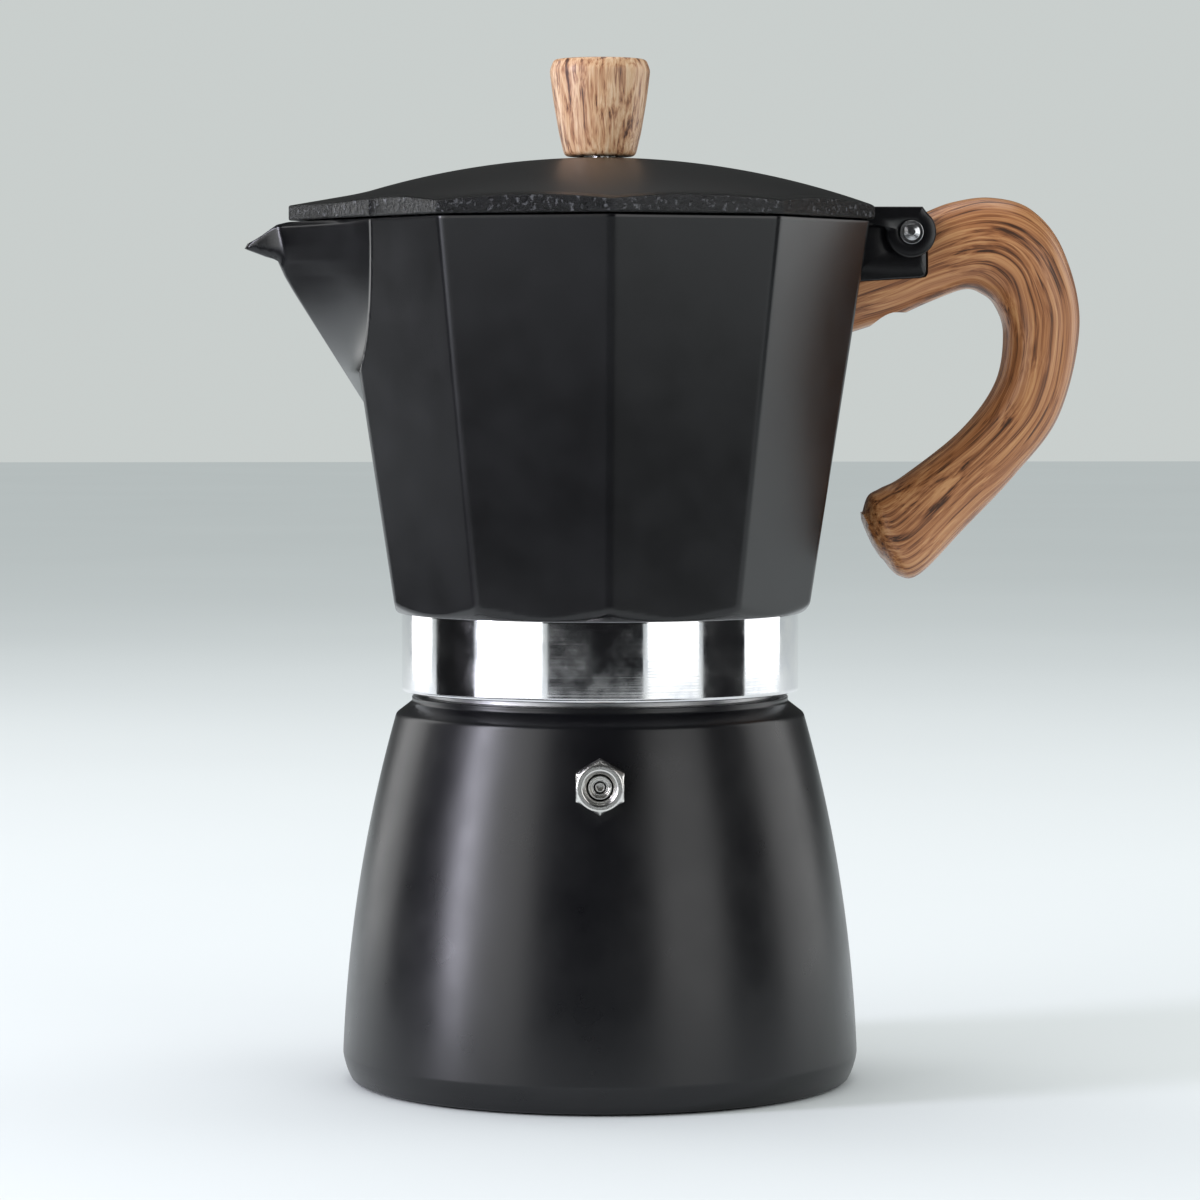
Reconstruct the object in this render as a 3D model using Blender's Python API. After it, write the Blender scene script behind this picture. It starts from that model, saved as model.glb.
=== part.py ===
"""Stovetop moka pot: boiler, coffee funnel, screwed-on decagonal chamber, hinged lid and hooked handle.

Frame: +Z is up and the origin is the centre of the boiler's underside. The spout points to -X, the
handle and the lid hinge to +X, and the safety valve to -Y. Sizes are in metres.
"""

import math

import bmesh
import bpy
from mathutils import Matrix, Vector

MM = 0.001
GAP = 0.3 * MM  # air between two pieces that touch
RUNNING = 0.3 * MM  # radial clearance of a turning or sliding fit

# Boiler, turned
WIDE_RADIUS = 50.45 * MM
WIDE_HEIGHT = 5.6 * MM
FOOT_INSET = 1.95 * MM
SHOULDER_REACH = 3.1 * MM  # shoulder outside the neck's step
SHOULDER_HEIGHT = 72.0 * MM
WALL_BULGE = 2.0 * MM
BOILER_WALL = 3.0 * MM
BOILER_FLOOR = 3.6 * MM
SHOULDER_RISE = 2.4 * MM
NECK_WALL = 3.3 * MM
NECK_STEP = 1.0 * MM
NECK_STEP_REACH = 1.5 * MM
NECK_HEIGHT = 11.6 * MM

# Screw thread between the boiler's neck and the chamber's collar
THREAD_DEPTH = 1.4 * MM
THREAD_PITCH = 3.0 * MM
THREAD_ROOT_SHARE = 0.30  # half width of a ridge at its root, in pitches
THREAD_CREST_SHARE = 0.11  # half width of a ridge at its crest, in pitches
THREAD_PLAY = 0.6 * MM  # crest of one thread to root of the other
NECK_THREAD_TURNS = 2.0
COLLAR_THREAD_TURNS = 1.5
THREAD_LEAD_IN = 3.9 * MM  # neck step to the middle of the first ridge

# Coffee funnel and its sieve
FUNNEL_RADIUS = 30.0 * MM
FUNNEL_SHEET = 0.8 * MM
FUNNEL_FLANGE_REACH = 3.4 * MM
FUNNEL_FLANGE_SHEET = 1.2 * MM
BASKET_DEPTH = 24.0 * MM
FUNNEL_CONE_DEPTH = 14.0 * MM
FUNNEL_TUBE_RADIUS = 4.4 * MM
FUNNEL_TUBE_FOOT = 5.4 * MM  # tube mouth above the boiler's floor
SIEVE_SHEET = 0.8 * MM

# Gasket and filter plate under the chamber
GASKET_SHEET = 3.0 * MM
GASKET_WIDTH = 5.7 * MM
FILTER_SHEET = 0.6 * MM
FILTER_RIM_SHEET = 0.8 * MM

# Perforations of both plates
HOLE_RADIUS = 0.8 * MM
HOLE_SPACING = 7.0 * MM
HOLE_SIDES = 6

# Chamber: ten flat facets above a turned collar
FACETS = 10
HALF_FACET = math.pi / FACETS
COLLAR_WALL = 2.9 * MM
COLLAR_EDGE = 0.8 * MM
COLLAR_LIFT = 1.1 * MM  # collar's lower edge above the boiler's neck step
CHAMBER_LEDGE = 1.1 * MM
CHAMBER_RIM_RADIUS = 53.8 * MM
CHAMBER_HEIGHT = 75.6 * MM  # gasket seat to rim
CHAMBER_WALL = 2.6 * MM
CHAMBER_FLOOR = 4.9 * MM
CORNER_RISE = 3.9 * MM  # turned corner under the facets
CORNER_REACH = 3.6 * MM
FACET_ROUNDING = 1.0 * MM

# Spout
SPOUT_REACH = 18.1 * MM
SPOUT_SPREAD = 0.39
SPOUT_DROP = 35.2 * MM
SPOUT_KEEL_RADIUS = 2.4 * MM
SPOUT_WALL = 2.2 * MM
SPOUT_SINK = 0.3 * MM  # roots of the spout's sides inside the facets
LIP_STAND = 0.3 * MM  # the lip's top edge in front of the trunk's

# Riser column
COLUMN_HEIGHT = 54.0 * MM
COLUMN_FOOT_RADIUS = 8.6 * MM
COLUMN_TOP_RADIUS = 6.4 * MM
COLUMN_BORE = 4.2 * MM
COLUMN_SPIGOT_RADIUS = 6.2 * MM
COLUMN_SLOT_HEIGHT = 5.0 * MM
COLUMN_SLOT_WIDTH = 5.5 * MM
COLUMN_CAP = 3.0 * MM

# Lid
LID_OVERHANG = 1.0 * MM
LID_RIM = 2.9 * MM
LID_DOME_RADIUS = 157.0 * MM
LID_EDGE = 2.33 * MM  # thickness of the dome's edge at the lid's corners
LID_SHEET = 2.2 * MM
LID_RIM_WIDTH = 6.0 * MM
BEAK_REACH = 9.5 * MM
BEAK_TOP_HEIGHT = 6.8 * MM
BEAK_TOP_X = -38.0 * MM
BEAK_NOSE_RADIUS = 2.6 * MM

# Hinge
PIN_REACH = 8.8 * MM  # beyond the chamber's rear facet at the rim
PIN_DROP = 2.05 * MM  # below the chamber's rim
PIN_RADIUS = 1.2 * MM
PIN_HEAD_RADIUS = 1.6 * MM
PIN_HEAD = 0.6 * MM
HINGE_WASHER_RADIUS = 2.3 * MM
HINGE_WASHER_SHEET = 0.5 * MM
KNUCKLE_WIDTH = 13.0 * MM
KNUCKLE_RADIUS = 4.4 * MM
EAR_SHEET = 2.2 * MM
EAR_RADIUS = 4.9 * MM
BRACKET_DEPTH = 8.8 * MM  # pin to the bracket's underside
BRACKET_REACH = 3.3 * MM  # pin to the bracket's outer face

# Knob and its fastening
KNOB_HEIGHT = 19.1 * MM
KNOB_FOOT_RADIUS = 6.9 * MM
KNOB_TOP_RADIUS = 9.8 * MM
KNOB_ROUNDING = 2.4 * MM
INSERT_RADIUS = 3.2 * MM
INSERT_LENGTH = 8.0 * MM
KNOB_SCREW_RADIUS = 1.8 * MM
KNOB_SCREW_GRIP = 6.0 * MM
SCREW_HEAD_SHARE = 1.9
WASHER_SHARE = 2.1
WASHER_SHEET = 0.8 * MM

# Handle: ribs from the outer to the inner side of the hook, measured from the hinge pin,
# each (outer x, outer z, inner x, inner z, half width)
HANDLE_RIBS = [
    (-6.0, 0.3, -15.2, -20.7, 6.2),
    (2.6, 3.7, -3.8, -17.0, 6.3),
    (9.0, 6.1, 4.5, -13.4, 6.6),
    (16.6, 7.0, 11.4, -10.9, 7.2),
    (24.4, 4.7, 15.1, -11.9, 7.8),
    (30.7, -3.2, 17.6, -14.3, 8.2),
    (34.0, -17.6, 19.2, -19.6, 8.3),
    (30.1, -35.4, 17.7, -29.0, 8.2),
    (21.4, -47.2, 11.0, -38.3, 8.0),
    (11.2, -58.0, -0.3, -47.3, 8.2),
    (2.8, -66.6, -4.9, -49.8, 8.4),
    (-1.3, -67.0, -7.3, -51.3, 7.6),
    (-4.2, -64.0, -8.4, -54.4, 5.2),
]
HANDLE_STATIONS_PER_RIB = 3
HANDLE_SIDES = 20
HANDLE_SQUARENESS = 2.3  # 2 is an ellipse
HANDLE_SCREW_X = -3.6 * MM  # from the hinge pin
HANDLE_SCREW_RADIUS = 1.6 * MM
HANDLE_SCREW_BITE = 4.6 * MM
HANDLE_SCREW_SEAT = 3.0 * MM  # wood left between the washer and the bracket

# Safety valve, outwards along -Y from its pad
VALVE_HEIGHT = 61.6 * MM
VALVE_TURN = math.radians(-2.4)  # off square to the handle when the chamber is tight
VALVE_PAD_RADIUS = 4.4 * MM
VALVE_PAD_STAND = 1.5 * MM
VALVE_HEX_FLATS = 9.0 * MM
VALVE_HEX_LENGTH = 4.5 * MM
VALVE_SHANK_RADIUS = 3.4 * MM
VALVE_SHANK_END = 7.5 * MM
VALVE_BORE = 2.5 * MM
VALVE_RECESS = 1.0 * MM
VALVE_SEAT_RADIUS = 1.2 * MM
VALVE_SEAT_LENGTH = 1.6 * MM
RETAINER_SHEET = 1.3 * MM
PLUNGER_STEM_RADIUS = 0.9 * MM
PLUNGER_HEAD = 1.4 * MM
SPRING_TURNS = 5
SPRING_WIRE = 0.2 * MM

# Facet counts of the turned pieces
LARGE_ROUND = 40
MEDIUM_ROUND = 32
SMALL_ROUND = 16

# Places worked out from the sizes
NECK_BASE = SHOULDER_HEIGHT + SHOULDER_RISE
NECK_FLOOR = NECK_BASE + NECK_STEP
NECK_TOP = NECK_FLOOR + NECK_HEIGHT
NECK_BORE = FUNNEL_RADIUS + 2 * RUNNING
NECK_ROOT_RADIUS = NECK_BORE + NECK_WALL
THREAD_RADIUS = NECK_ROOT_RADIUS + THREAD_DEPTH
NECK_STEP_RADIUS = THREAD_RADIUS + NECK_STEP_REACH
SHOULDER_RADIUS = NECK_STEP_RADIUS + SHOULDER_REACH
FLANGE_BOTTOM = NECK_TOP + GAP
FLANGE_TOP = FLANGE_BOTTOM + FUNNEL_FLANGE_SHEET
FLANGE_RADIUS = FUNNEL_RADIUS + FUNNEL_FLANGE_REACH
GASKET_BOTTOM = FLANGE_TOP + GAP
GASKET_TOP = GASKET_BOTTOM + GASKET_SHEET
SEAT = GASKET_TOP + GAP
GASKET_RADIUS = FLANGE_RADIUS - 0.8 * MM
GASKET_BORE = GASKET_RADIUS - GASKET_WIDTH
COLLAR_BORE = THREAD_RADIUS + THREAD_PLAY
COLLAR_RADIUS = COLLAR_BORE + COLLAR_WALL
COLLAR_BOTTOM = NECK_FLOOR + COLLAR_LIFT
CHAMBER_BASE = SEAT - 0.3 * MM
CHAMBER_BASE_RADIUS = (COLLAR_RADIUS + CHAMBER_LEDGE) / math.cos(HALF_FACET)
RIM = SEAT + CHAMBER_HEIGHT
FLOOR_TOP = SEAT + CHAMBER_FLOOR
RIM_FACET = CHAMBER_RIM_RADIUS * math.cos(HALF_FACET)
PIN_X = RIM_FACET + PIN_REACH
PIN_Z = RIM - PIN_DROP
LID_BOTTOM = RIM + GAP
LID_RADIUS = CHAMBER_RIM_RADIUS + LID_OVERHANG
LID_SAG = LID_DOME_RADIUS - math.sqrt(LID_DOME_RADIUS**2 - LID_RADIUS**2)
LID_TOP = LID_BOTTOM + LID_EDGE + LID_SAG
EAR_INNER = KNUCKLE_WIDTH / 2 + GAP
EAR_OUTER = EAR_INNER + EAR_SHEET


def clear_scene():
    for obj in list(bpy.data.objects):
        bpy.data.objects.remove(obj, do_unlink=True)


def material(name, colour, roughness, metallic=0.0):
    """A Principled material of one colour, shared by the pieces that name it."""
    found = bpy.data.materials.get(name)
    if found:
        return found
    made = bpy.data.materials.new(name)
    made.use_nodes = True
    shader = made.node_tree.nodes["Principled BSDF"]
    shader.inputs["Base Color"].default_value = (*colour, 1.0)
    shader.inputs["Roughness"].default_value = roughness
    shader.inputs["Metallic"].default_value = metallic
    return made


def black_paint():
    return material("black_paint", (0.012, 0.012, 0.014), 0.35)


def cast_aluminium():
    return material("cast_aluminium", (0.70, 0.71, 0.72), 0.35, 1.0)


def polished_steel():
    return material("polished_steel", (0.72, 0.72, 0.73), 0.18, 1.0)


def brass():
    return material("brass", (0.75, 0.56, 0.28), 0.3, 1.0)


def silicone():
    return material("silicone", (0.80, 0.79, 0.75), 0.6)


def wood_grip():
    return material("wood_grip", (0.42, 0.19, 0.09), 0.4)


def pale_wood():
    return material("pale_wood", (0.60, 0.38, 0.20), 0.4)


def finish_object(name, bm, surface, at=(0, 0, 0), smooth=True):
    """The bmesh as an object at a place, faces outward, with round faces shaded smooth."""
    bmesh.ops.recalc_face_normals(bm, faces=bm.faces)
    mesh = bpy.data.meshes.new(name)
    bm.to_mesh(mesh)
    bm.free()
    if smooth:
        mesh.shade_smooth()
        mesh.set_sharp_from_angle(angle=math.radians(32))
    obj = bpy.data.objects.new(name, mesh)
    obj.location = at
    bpy.context.scene.collection.objects.link(obj)
    if surface:
        mesh.materials.append(surface)
    return obj


def turned(name, outline, surface, sides=LARGE_ROUND, at=(0, 0, 0)):
    """A solid of revolution about local Z. The outline is (radius, height) points: a ring of them,
    closed by itself, or a line that starts and ends on the axis."""
    bm = bmesh.new()
    points = [bm.verts.new((radius, 0.0, height)) for radius, height in outline]
    pairs = list(zip(points, points[1:]))
    if outline[0][0] > 0:
        pairs.append((points[-1], points[0]))
    edges = [bm.edges.new(pair) for pair in pairs]
    bmesh.ops.spin(
        bm, geom=points + edges, angle=2 * math.pi, steps=sides, axis=(0, 0, 1), cent=(0, 0, 0),
        use_merge=True,
    )
    bmesh.ops.remove_doubles(bm, verts=bm.verts, dist=0.001 * MM)
    return finish_object(name, bm, surface, at)


def hull(name, points, surface=None):
    """The convex solid around the points."""
    bm = bmesh.new()
    for point in points:
        bm.verts.new(point)
    made = bmesh.ops.convex_hull(bm, input=bm.verts)
    unused = {v for v in made["geom_interior"] + made["geom_unused"] if isinstance(v, bmesh.types.BMVert)}
    bmesh.ops.delete(bm, geom=list(unused), context="VERTS")
    return finish_object(name, bm, surface, smooth=False)


def extruded(name, outline, low, high, surface=None):
    """A plate with an outline in X and Z, from Y = low to Y = high."""
    bm = bmesh.new()
    face = bm.faces.new([bm.verts.new((x, low, z)) for x, z in outline])
    grown = bmesh.ops.extrude_face_region(bm, geom=[face])
    moved = [v for v in grown["geom"] if isinstance(v, bmesh.types.BMVert)]
    bmesh.ops.translate(bm, verts=moved, vec=(0, high - low, 0))
    return finish_object(name, bm, surface, smooth=False)


def drum(name, radius, low, high, axis="Z", centre=(0, 0), sides=SMALL_ROUND):
    """A plain cylinder along an axis, used to cut or to join. centre is (x, y), or (x, z) along Y."""
    bm = bmesh.new()
    bmesh.ops.create_cone(
        bm, cap_ends=True, segments=sides, radius1=radius, radius2=radius, depth=high - low
    )
    obj = finish_object(name, bm, None)
    if axis == "Y":
        obj.rotation_euler = (math.pi / 2, 0, 0)
        obj.location = (centre[0], (low + high) / 2, centre[1])
    else:
        obj.location = (centre[0], centre[1], (low + high) / 2)
    return obj


def combine(obj, other, operation):
    """Joins a helper to a piece, cuts it out or keeps what they share, and hides the helper."""
    step = obj.modifiers.new(f"{operation.lower()}_{other.name}", "BOOLEAN")
    step.operation = operation
    step.solver = "EXACT"
    step.object = other
    other.hide_render = True
    other.display_type = "WIRE"
    other.parent = obj.parent


def arc(centre, radius, start, stop, count):
    """Points of an arc in degrees, both ends included."""
    angles = [math.radians(start + (stop - start) * i / count) for i in range(count + 1)]
    return [(centre[0] + radius * math.cos(a), centre[1] + radius * math.sin(a)) for a in angles]


def bulged(first, last, bulge, count):
    """Points of the shallow arc between two points that stands out by bulge at its middle."""
    start, end = Vector(first), Vector(last)
    chord = end - start
    outward = Vector((chord.y, -chord.x)).normalized()
    radius = (chord.length / 2) ** 2 / (2 * bulge) + bulge / 2
    centre = (start + end) / 2 + outward * (bulge - radius)
    sweep = 2 * math.asin(chord.length / 2 / radius)
    first_angle = math.atan2(start.y - centre.y, start.x - centre.x)
    angles = [first_angle + sweep * i / count for i in range(count + 1)]
    return [(centre.x + radius * math.cos(a), centre.y + radius * math.sin(a)) for a in angles]


def boiler_wall_radius(height):
    """Outer radius of the boiler's wall at a height between its widest ring and its shoulder."""
    wall = bulged((WIDE_RADIUS, WIDE_HEIGHT), (SHOULDER_RADIUS, SHOULDER_HEIGHT), WALL_BULGE, 64)
    for (r0, z0), (r1, z1) in zip(wall, wall[1:]):
        if z0 <= height <= z1:
            return r0 + (r1 - r0) * (height - z0) / (z1 - z0)
    return SHOULDER_RADIUS


def thread_ridge(name, root, crest, start_angle, start_height, turns, sides=LARGE_ROUND):
    """A helical ridge, sunk a little into the wall it stands on, that fades out at both ends."""
    steps = round(turns * sides)
    fade = sides // 10
    sunk = root + math.copysign(0.5 * MM, root - crest)
    bm = bmesh.new()
    rings = []
    for i in range(steps + 1):
        angle = start_angle + 2 * math.pi * (i + 0.5) / sides
        middle = start_height + THREAD_PITCH * (i + 0.5) / sides
        growth = min(1.0, (i + 0.4) / fade, (steps - i + 0.4) / fade)
        top = root + (crest - root) * growth
        half_root = THREAD_ROOT_SHARE * THREAD_PITCH
        half_top = half_root + (THREAD_CREST_SHARE * THREAD_PITCH - half_root) * growth
        corners = ((sunk, -half_root), (root, -half_root), (top, -half_top))
        corners += ((top, half_top), (root, half_root), (sunk, half_root))
        rings.append([
            bm.verts.new((r * math.cos(angle), r * math.sin(angle), middle + dz)) for r, dz in corners
        ])
    for ring, following in zip(rings, rings[1:]):
        for i in range(len(ring)):
            j = (i + 1) % len(ring)
            bm.faces.new((ring[i], ring[j], following[j], following[i]))
    bm.faces.new(rings[0])
    bm.faces.new(rings[-1])
    return finish_object(name, bm, None, smooth=False)


def perforated_disc(name, radius, bottom, sheet, surface, keep_in, sides=MEDIUM_ROUND):
    """A flat disc with round perforations on a triangular grid, all within keep_in of the middle."""
    bm = bmesh.new()
    edges = ring_edges(bm, (0, 0), radius, bottom, sides)
    reach = int(keep_in / HOLE_SPACING) + 1
    for row in range(-reach, reach + 1):
        for column in range(-reach, reach + 1):
            x = (column + row / 2) * HOLE_SPACING
            y = row * HOLE_SPACING * math.sqrt(3) / 2
            if math.hypot(x, y) + HOLE_RADIUS < keep_in:
                edges += ring_edges(bm, (x, y), HOLE_RADIUS, bottom, HOLE_SIDES)
    filled = bmesh.ops.triangle_fill(bm, edges=edges, use_beauty=True)
    faces = [f for f in filled["geom"] if isinstance(f, bmesh.types.BMFace)]
    grown = bmesh.ops.extrude_face_region(bm, geom=faces, use_keep_orig=True)
    moved = [v for v in grown["geom"] if isinstance(v, bmesh.types.BMVert)]
    bmesh.ops.translate(bm, verts=moved, vec=(0, 0, sheet))
    return finish_object(name, bm, surface)


def ring_edges(bm, centre, radius, height, sides):
    """A closed loop of edges around a centre, for a disc's edge or one of its holes."""
    points = [
        bm.verts.new((
            centre[0] + radius * math.cos(2 * math.pi * i / sides),
            centre[1] + radius * math.sin(2 * math.pi * i / sides),
            height,
        ))
        for i in range(sides)
    ]
    return [bm.edges.new((points[i], points[(i + 1) % sides])) for i in range(sides)]


def decagon(radius, height):
    """The ten corners at a height. A corner faces the valve, and a facet faces the handle."""
    return [
        (
            radius * math.cos(HALF_FACET * (2 * i + 1)),
            radius * math.sin(HALF_FACET * (2 * i + 1)),
            height,
        )
        for i in range(FACETS)
    ]


def chamber_radius(height):
    """Corner radius of the chamber's outside at a height."""
    share = (height - CHAMBER_BASE) / (RIM - CHAMBER_BASE)
    return CHAMBER_BASE_RADIUS + (CHAMBER_RIM_RADIUS - CHAMBER_BASE_RADIUS) * share


def tapered_decagon(name, low, high, grow=0.0, rounding=0.0, surface=None):
    """A ten-sided solid between two heights that follows the chamber's taper, grown sideways."""
    extra = grow / math.cos(HALF_FACET)
    bm = bmesh.new()
    bottom = [bm.verts.new(p) for p in decagon(chamber_radius(low) + extra, low)]
    top = [bm.verts.new(p) for p in decagon(chamber_radius(high) + extra, high)]
    bm.faces.new(bottom)
    bm.faces.new(top)
    for i in range(FACETS):
        j = (i + 1) % FACETS
        bm.faces.new((bottom[i], bottom[j], top[j], top[i]))
    if rounding:
        upright = [bm.edges.get((bottom[i], top[i])) for i in range(FACETS)]
        bmesh.ops.bevel(bm, geom=upright, offset=rounding, segments=2, profile=0.5, affect="EDGES")
    return finish_object(name, bm, surface)


def make_boiler():
    foot = WIDE_RADIUS - FOOT_INSET
    outside = [(0, 0), (foot, 0)]
    outside += bulged((foot, 0), (WIDE_RADIUS, WIDE_HEIGHT), 0.55 * MM, 3)[1:-1]
    wall = bulged((WIDE_RADIUS, WIDE_HEIGHT), (SHOULDER_RADIUS, SHOULDER_HEIGHT), WALL_BULGE, 9)
    neck = [
        (NECK_STEP_RADIUS, NECK_BASE),
        (NECK_STEP_RADIUS, NECK_FLOOR),
        (NECK_ROOT_RADIUS, NECK_FLOOR),
        (NECK_ROOT_RADIUS, NECK_TOP - 0.5 * MM),
        (NECK_ROOT_RADIUS - 0.5 * MM, NECK_TOP),
        (NECK_BORE, NECK_TOP),
        (NECK_BORE, SHOULDER_HEIGHT - BOILER_WALL / 2),
    ]
    inside = [(r - BOILER_WALL, z - BOILER_WALL) for r, z in reversed(wall[2:])]
    corner = wall[1][0] - BOILER_WALL
    inside += [(corner, BOILER_FLOOR + 3 * MM), (corner - 3 * MM, BOILER_FLOOR), (0, BOILER_FLOOR)]
    boiler = turned("boiler", outside + wall + neck + inside, black_paint())
    first_ridge = NECK_FLOOR + THREAD_LEAD_IN
    ridge = thread_ridge(
        "neck_thread", NECK_ROOT_RADIUS, THREAD_RADIUS, 0.0, first_ridge, NECK_THREAD_TURNS
    )
    combine(boiler, ridge, "UNION")
    pad = drum("valve_pad", VALVE_PAD_RADIUS, -VALVE_PAD_STAND - BOILER_WALL, 0)
    hole = drum("valve_hole", VALVE_SHANK_RADIUS + GAP, -3 * BOILER_WALL, MM)
    for piece, operation in ((pad, "UNION"), (hole, "DIFFERENCE")):
        middle = piece.location.z
        face_valve_outward(piece, middle)
        combine(boiler, piece, operation)


def valve_face():
    """Distance of the valve pad's face from the boiler's axis."""
    return boiler_wall_radius(VALVE_HEIGHT) + VALVE_PAD_STAND


def face_valve_outward(obj, along=0.0):
    """Puts a valve piece, made along local +Z, on the boiler's pad so that it points outwards."""
    reach = valve_face() + along
    obj.location = (reach * math.sin(VALVE_TURN), -reach * math.cos(VALVE_TURN), VALVE_HEIGHT)
    obj.rotation_euler = (math.pi / 2, 0, VALVE_TURN)


def valve_levels():
    """Heights along the valve's own axis, from its pad outwards."""
    washer_top = GAP + WASHER_SHEET
    hex_bottom = washer_top + GAP
    hex_top = hex_bottom + VALVE_HEX_LENGTH
    retainer_top = hex_top - VALVE_RECESS
    retainer_bottom = retainer_top - RETAINER_SHEET
    seat = -VALVE_SHANK_END + VALVE_SEAT_LENGTH
    plunger_top = seat + GAP + PLUNGER_HEAD
    return washer_top, hex_bottom, hex_top, retainer_top, retainer_bottom, seat, plunger_top


def make_valve_body():
    _, hex_bottom, hex_top, _, _, seat, _ = valve_levels()
    corner = VALVE_HEX_FLATS / math.sqrt(3)
    chamfer = corner - VALVE_HEX_FLATS / 2
    bm = bmesh.new()
    bmesh.ops.create_cone(
        bm, cap_ends=True, segments=6, radius1=corner, radius2=corner, depth=VALVE_HEX_LENGTH
    )
    bmesh.ops.rotate(bm, verts=bm.verts, matrix=Matrix.Rotation(math.pi / 6, 3, "Z"))
    bmesh.ops.translate(bm, verts=bm.verts, vec=(0, 0, (hex_bottom + hex_top) / 2))
    body = finish_object("valve_body", bm, polished_steel(), smooth=False)
    limit = [
        (0, hex_bottom - MM),
        (corner + MM, hex_bottom - MM),
        (corner + MM, hex_top - chamfer * 0.9),
        (corner - 1.6 * chamfer, hex_top + 0.55 * chamfer),
        (0, hex_top + 0.55 * chamfer),
    ]
    turned_limit = turned("valve_chamfer", limit, None, MEDIUM_ROUND)
    shank = turned(
        "valve_shank",
        [
            (0, -VALVE_SHANK_END),
            (VALVE_SHANK_RADIUS - 0.4 * MM, -VALVE_SHANK_END),
            (VALVE_SHANK_RADIUS, -VALVE_SHANK_END + 0.4 * MM),
            (VALVE_SHANK_RADIUS, hex_bottom + MM),
            (0, hex_bottom + MM),
        ],
        None,
        SMALL_ROUND,
    )
    bore = turned(
        "valve_bore",
        [
            (0, -VALVE_SHANK_END - MM),
            (VALVE_SEAT_RADIUS, -VALVE_SHANK_END - MM),
            (VALVE_SEAT_RADIUS, seat - 0.6 * MM),
            (VALVE_SEAT_RADIUS + 0.6 * MM, seat),
            (VALVE_BORE, seat),
            (VALVE_BORE, hex_top - 0.8 * VALVE_RECESS),
            (VALVE_BORE + 0.5 * MM, hex_top + 0.1 * MM),
            (VALVE_BORE + 0.5 * MM, hex_top + MM),
            (0, hex_top + MM),
        ],
        None,
        SMALL_ROUND,
    )
    combine(body, turned_limit, "INTERSECT")
    combine(body, shank, "UNION")
    combine(body, bore, "DIFFERENCE")
    for piece in (body, turned_limit, shank, bore):
        face_valve_outward(piece)


def make_valve_washer():
    washer_top = valve_levels()[0]
    inner = VALVE_SHANK_RADIUS + GAP
    ring = [(inner, GAP), (VALVE_PAD_RADIUS, GAP), (VALVE_PAD_RADIUS, washer_top), (inner, washer_top)]
    face_valve_outward(turned("valve_washer", ring, silicone(), SMALL_ROUND))


def make_valve_plunger():
    _, _, _, retainer_top, _, seat, plunger_top = valve_levels()
    head_radius = VALVE_BORE - 2 * RUNNING
    outline = [
        (0, seat - 0.3 * MM),
        (VALVE_SEAT_RADIUS - 0.2 * MM, seat - 0.3 * MM),
        (VALVE_SEAT_RADIUS + 0.6 * MM, seat + GAP),
        (head_radius, seat + GAP),
        (head_radius, plunger_top),
        (PLUNGER_STEM_RADIUS, plunger_top),
        (PLUNGER_STEM_RADIUS, retainer_top - 0.8 * MM),
        (0, retainer_top - 0.8 * MM),
    ]
    face_valve_outward(turned("valve_plunger", outline, brass(), SMALL_ROUND))


def make_valve_spring():
    """A coil about the plunger's stem, from the plunger's head to the retainer."""
    _, _, _, _, retainer_bottom, _, plunger_top = valve_levels()
    coil_radius = (PLUNGER_STEM_RADIUS + VALVE_BORE) / 2
    low = plunger_top + GAP + SPRING_WIRE
    high = retainer_bottom - GAP - SPRING_WIRE
    per_turn, wire_sides = 10, 5
    steps = SPRING_TURNS * per_turn
    bm = bmesh.new()
    rings = []
    for i in range(steps + 1):
        turn = 2 * math.pi * i / per_turn
        middle = low + (high - low) * i / steps
        ring = []
        for k in range(wire_sides):
            around = 2 * math.pi * k / wire_sides
            radius = coil_radius + SPRING_WIRE * math.cos(around)
            height = middle + SPRING_WIRE * math.sin(around)
            ring.append(bm.verts.new((radius * math.cos(turn), radius * math.sin(turn), height)))
        rings.append(ring)
    for ring, following in zip(rings, rings[1:]):
        for k in range(wire_sides):
            n = (k + 1) % wire_sides
            bm.faces.new((ring[k], ring[n], following[n], following[k]))
    bm.faces.new(rings[0])
    bm.faces.new(rings[-1])
    face_valve_outward(finish_object("valve_spring", bm, polished_steel()))


def make_valve_retainer():
    _, _, _, top, bottom, _, _ = valve_levels()
    outer = VALVE_BORE - GAP
    hole = PLUNGER_STEM_RADIUS + RUNNING
    dish = top - 0.5 * MM
    outline = [(hole, bottom), (outer, bottom), (outer, top), (hole + 0.5 * MM, dish), (hole, dish)]
    face_valve_outward(turned("valve_retainer", outline, polished_steel(), SMALL_ROUND))


def funnel_levels():
    """Heights of the basket's foot, the tube's top and the tube's mouth."""
    basket_foot = FLANGE_TOP - BASKET_DEPTH
    return basket_foot, basket_foot - FUNNEL_CONE_DEPTH, BOILER_FLOOR + FUNNEL_TUBE_FOOT


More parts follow.
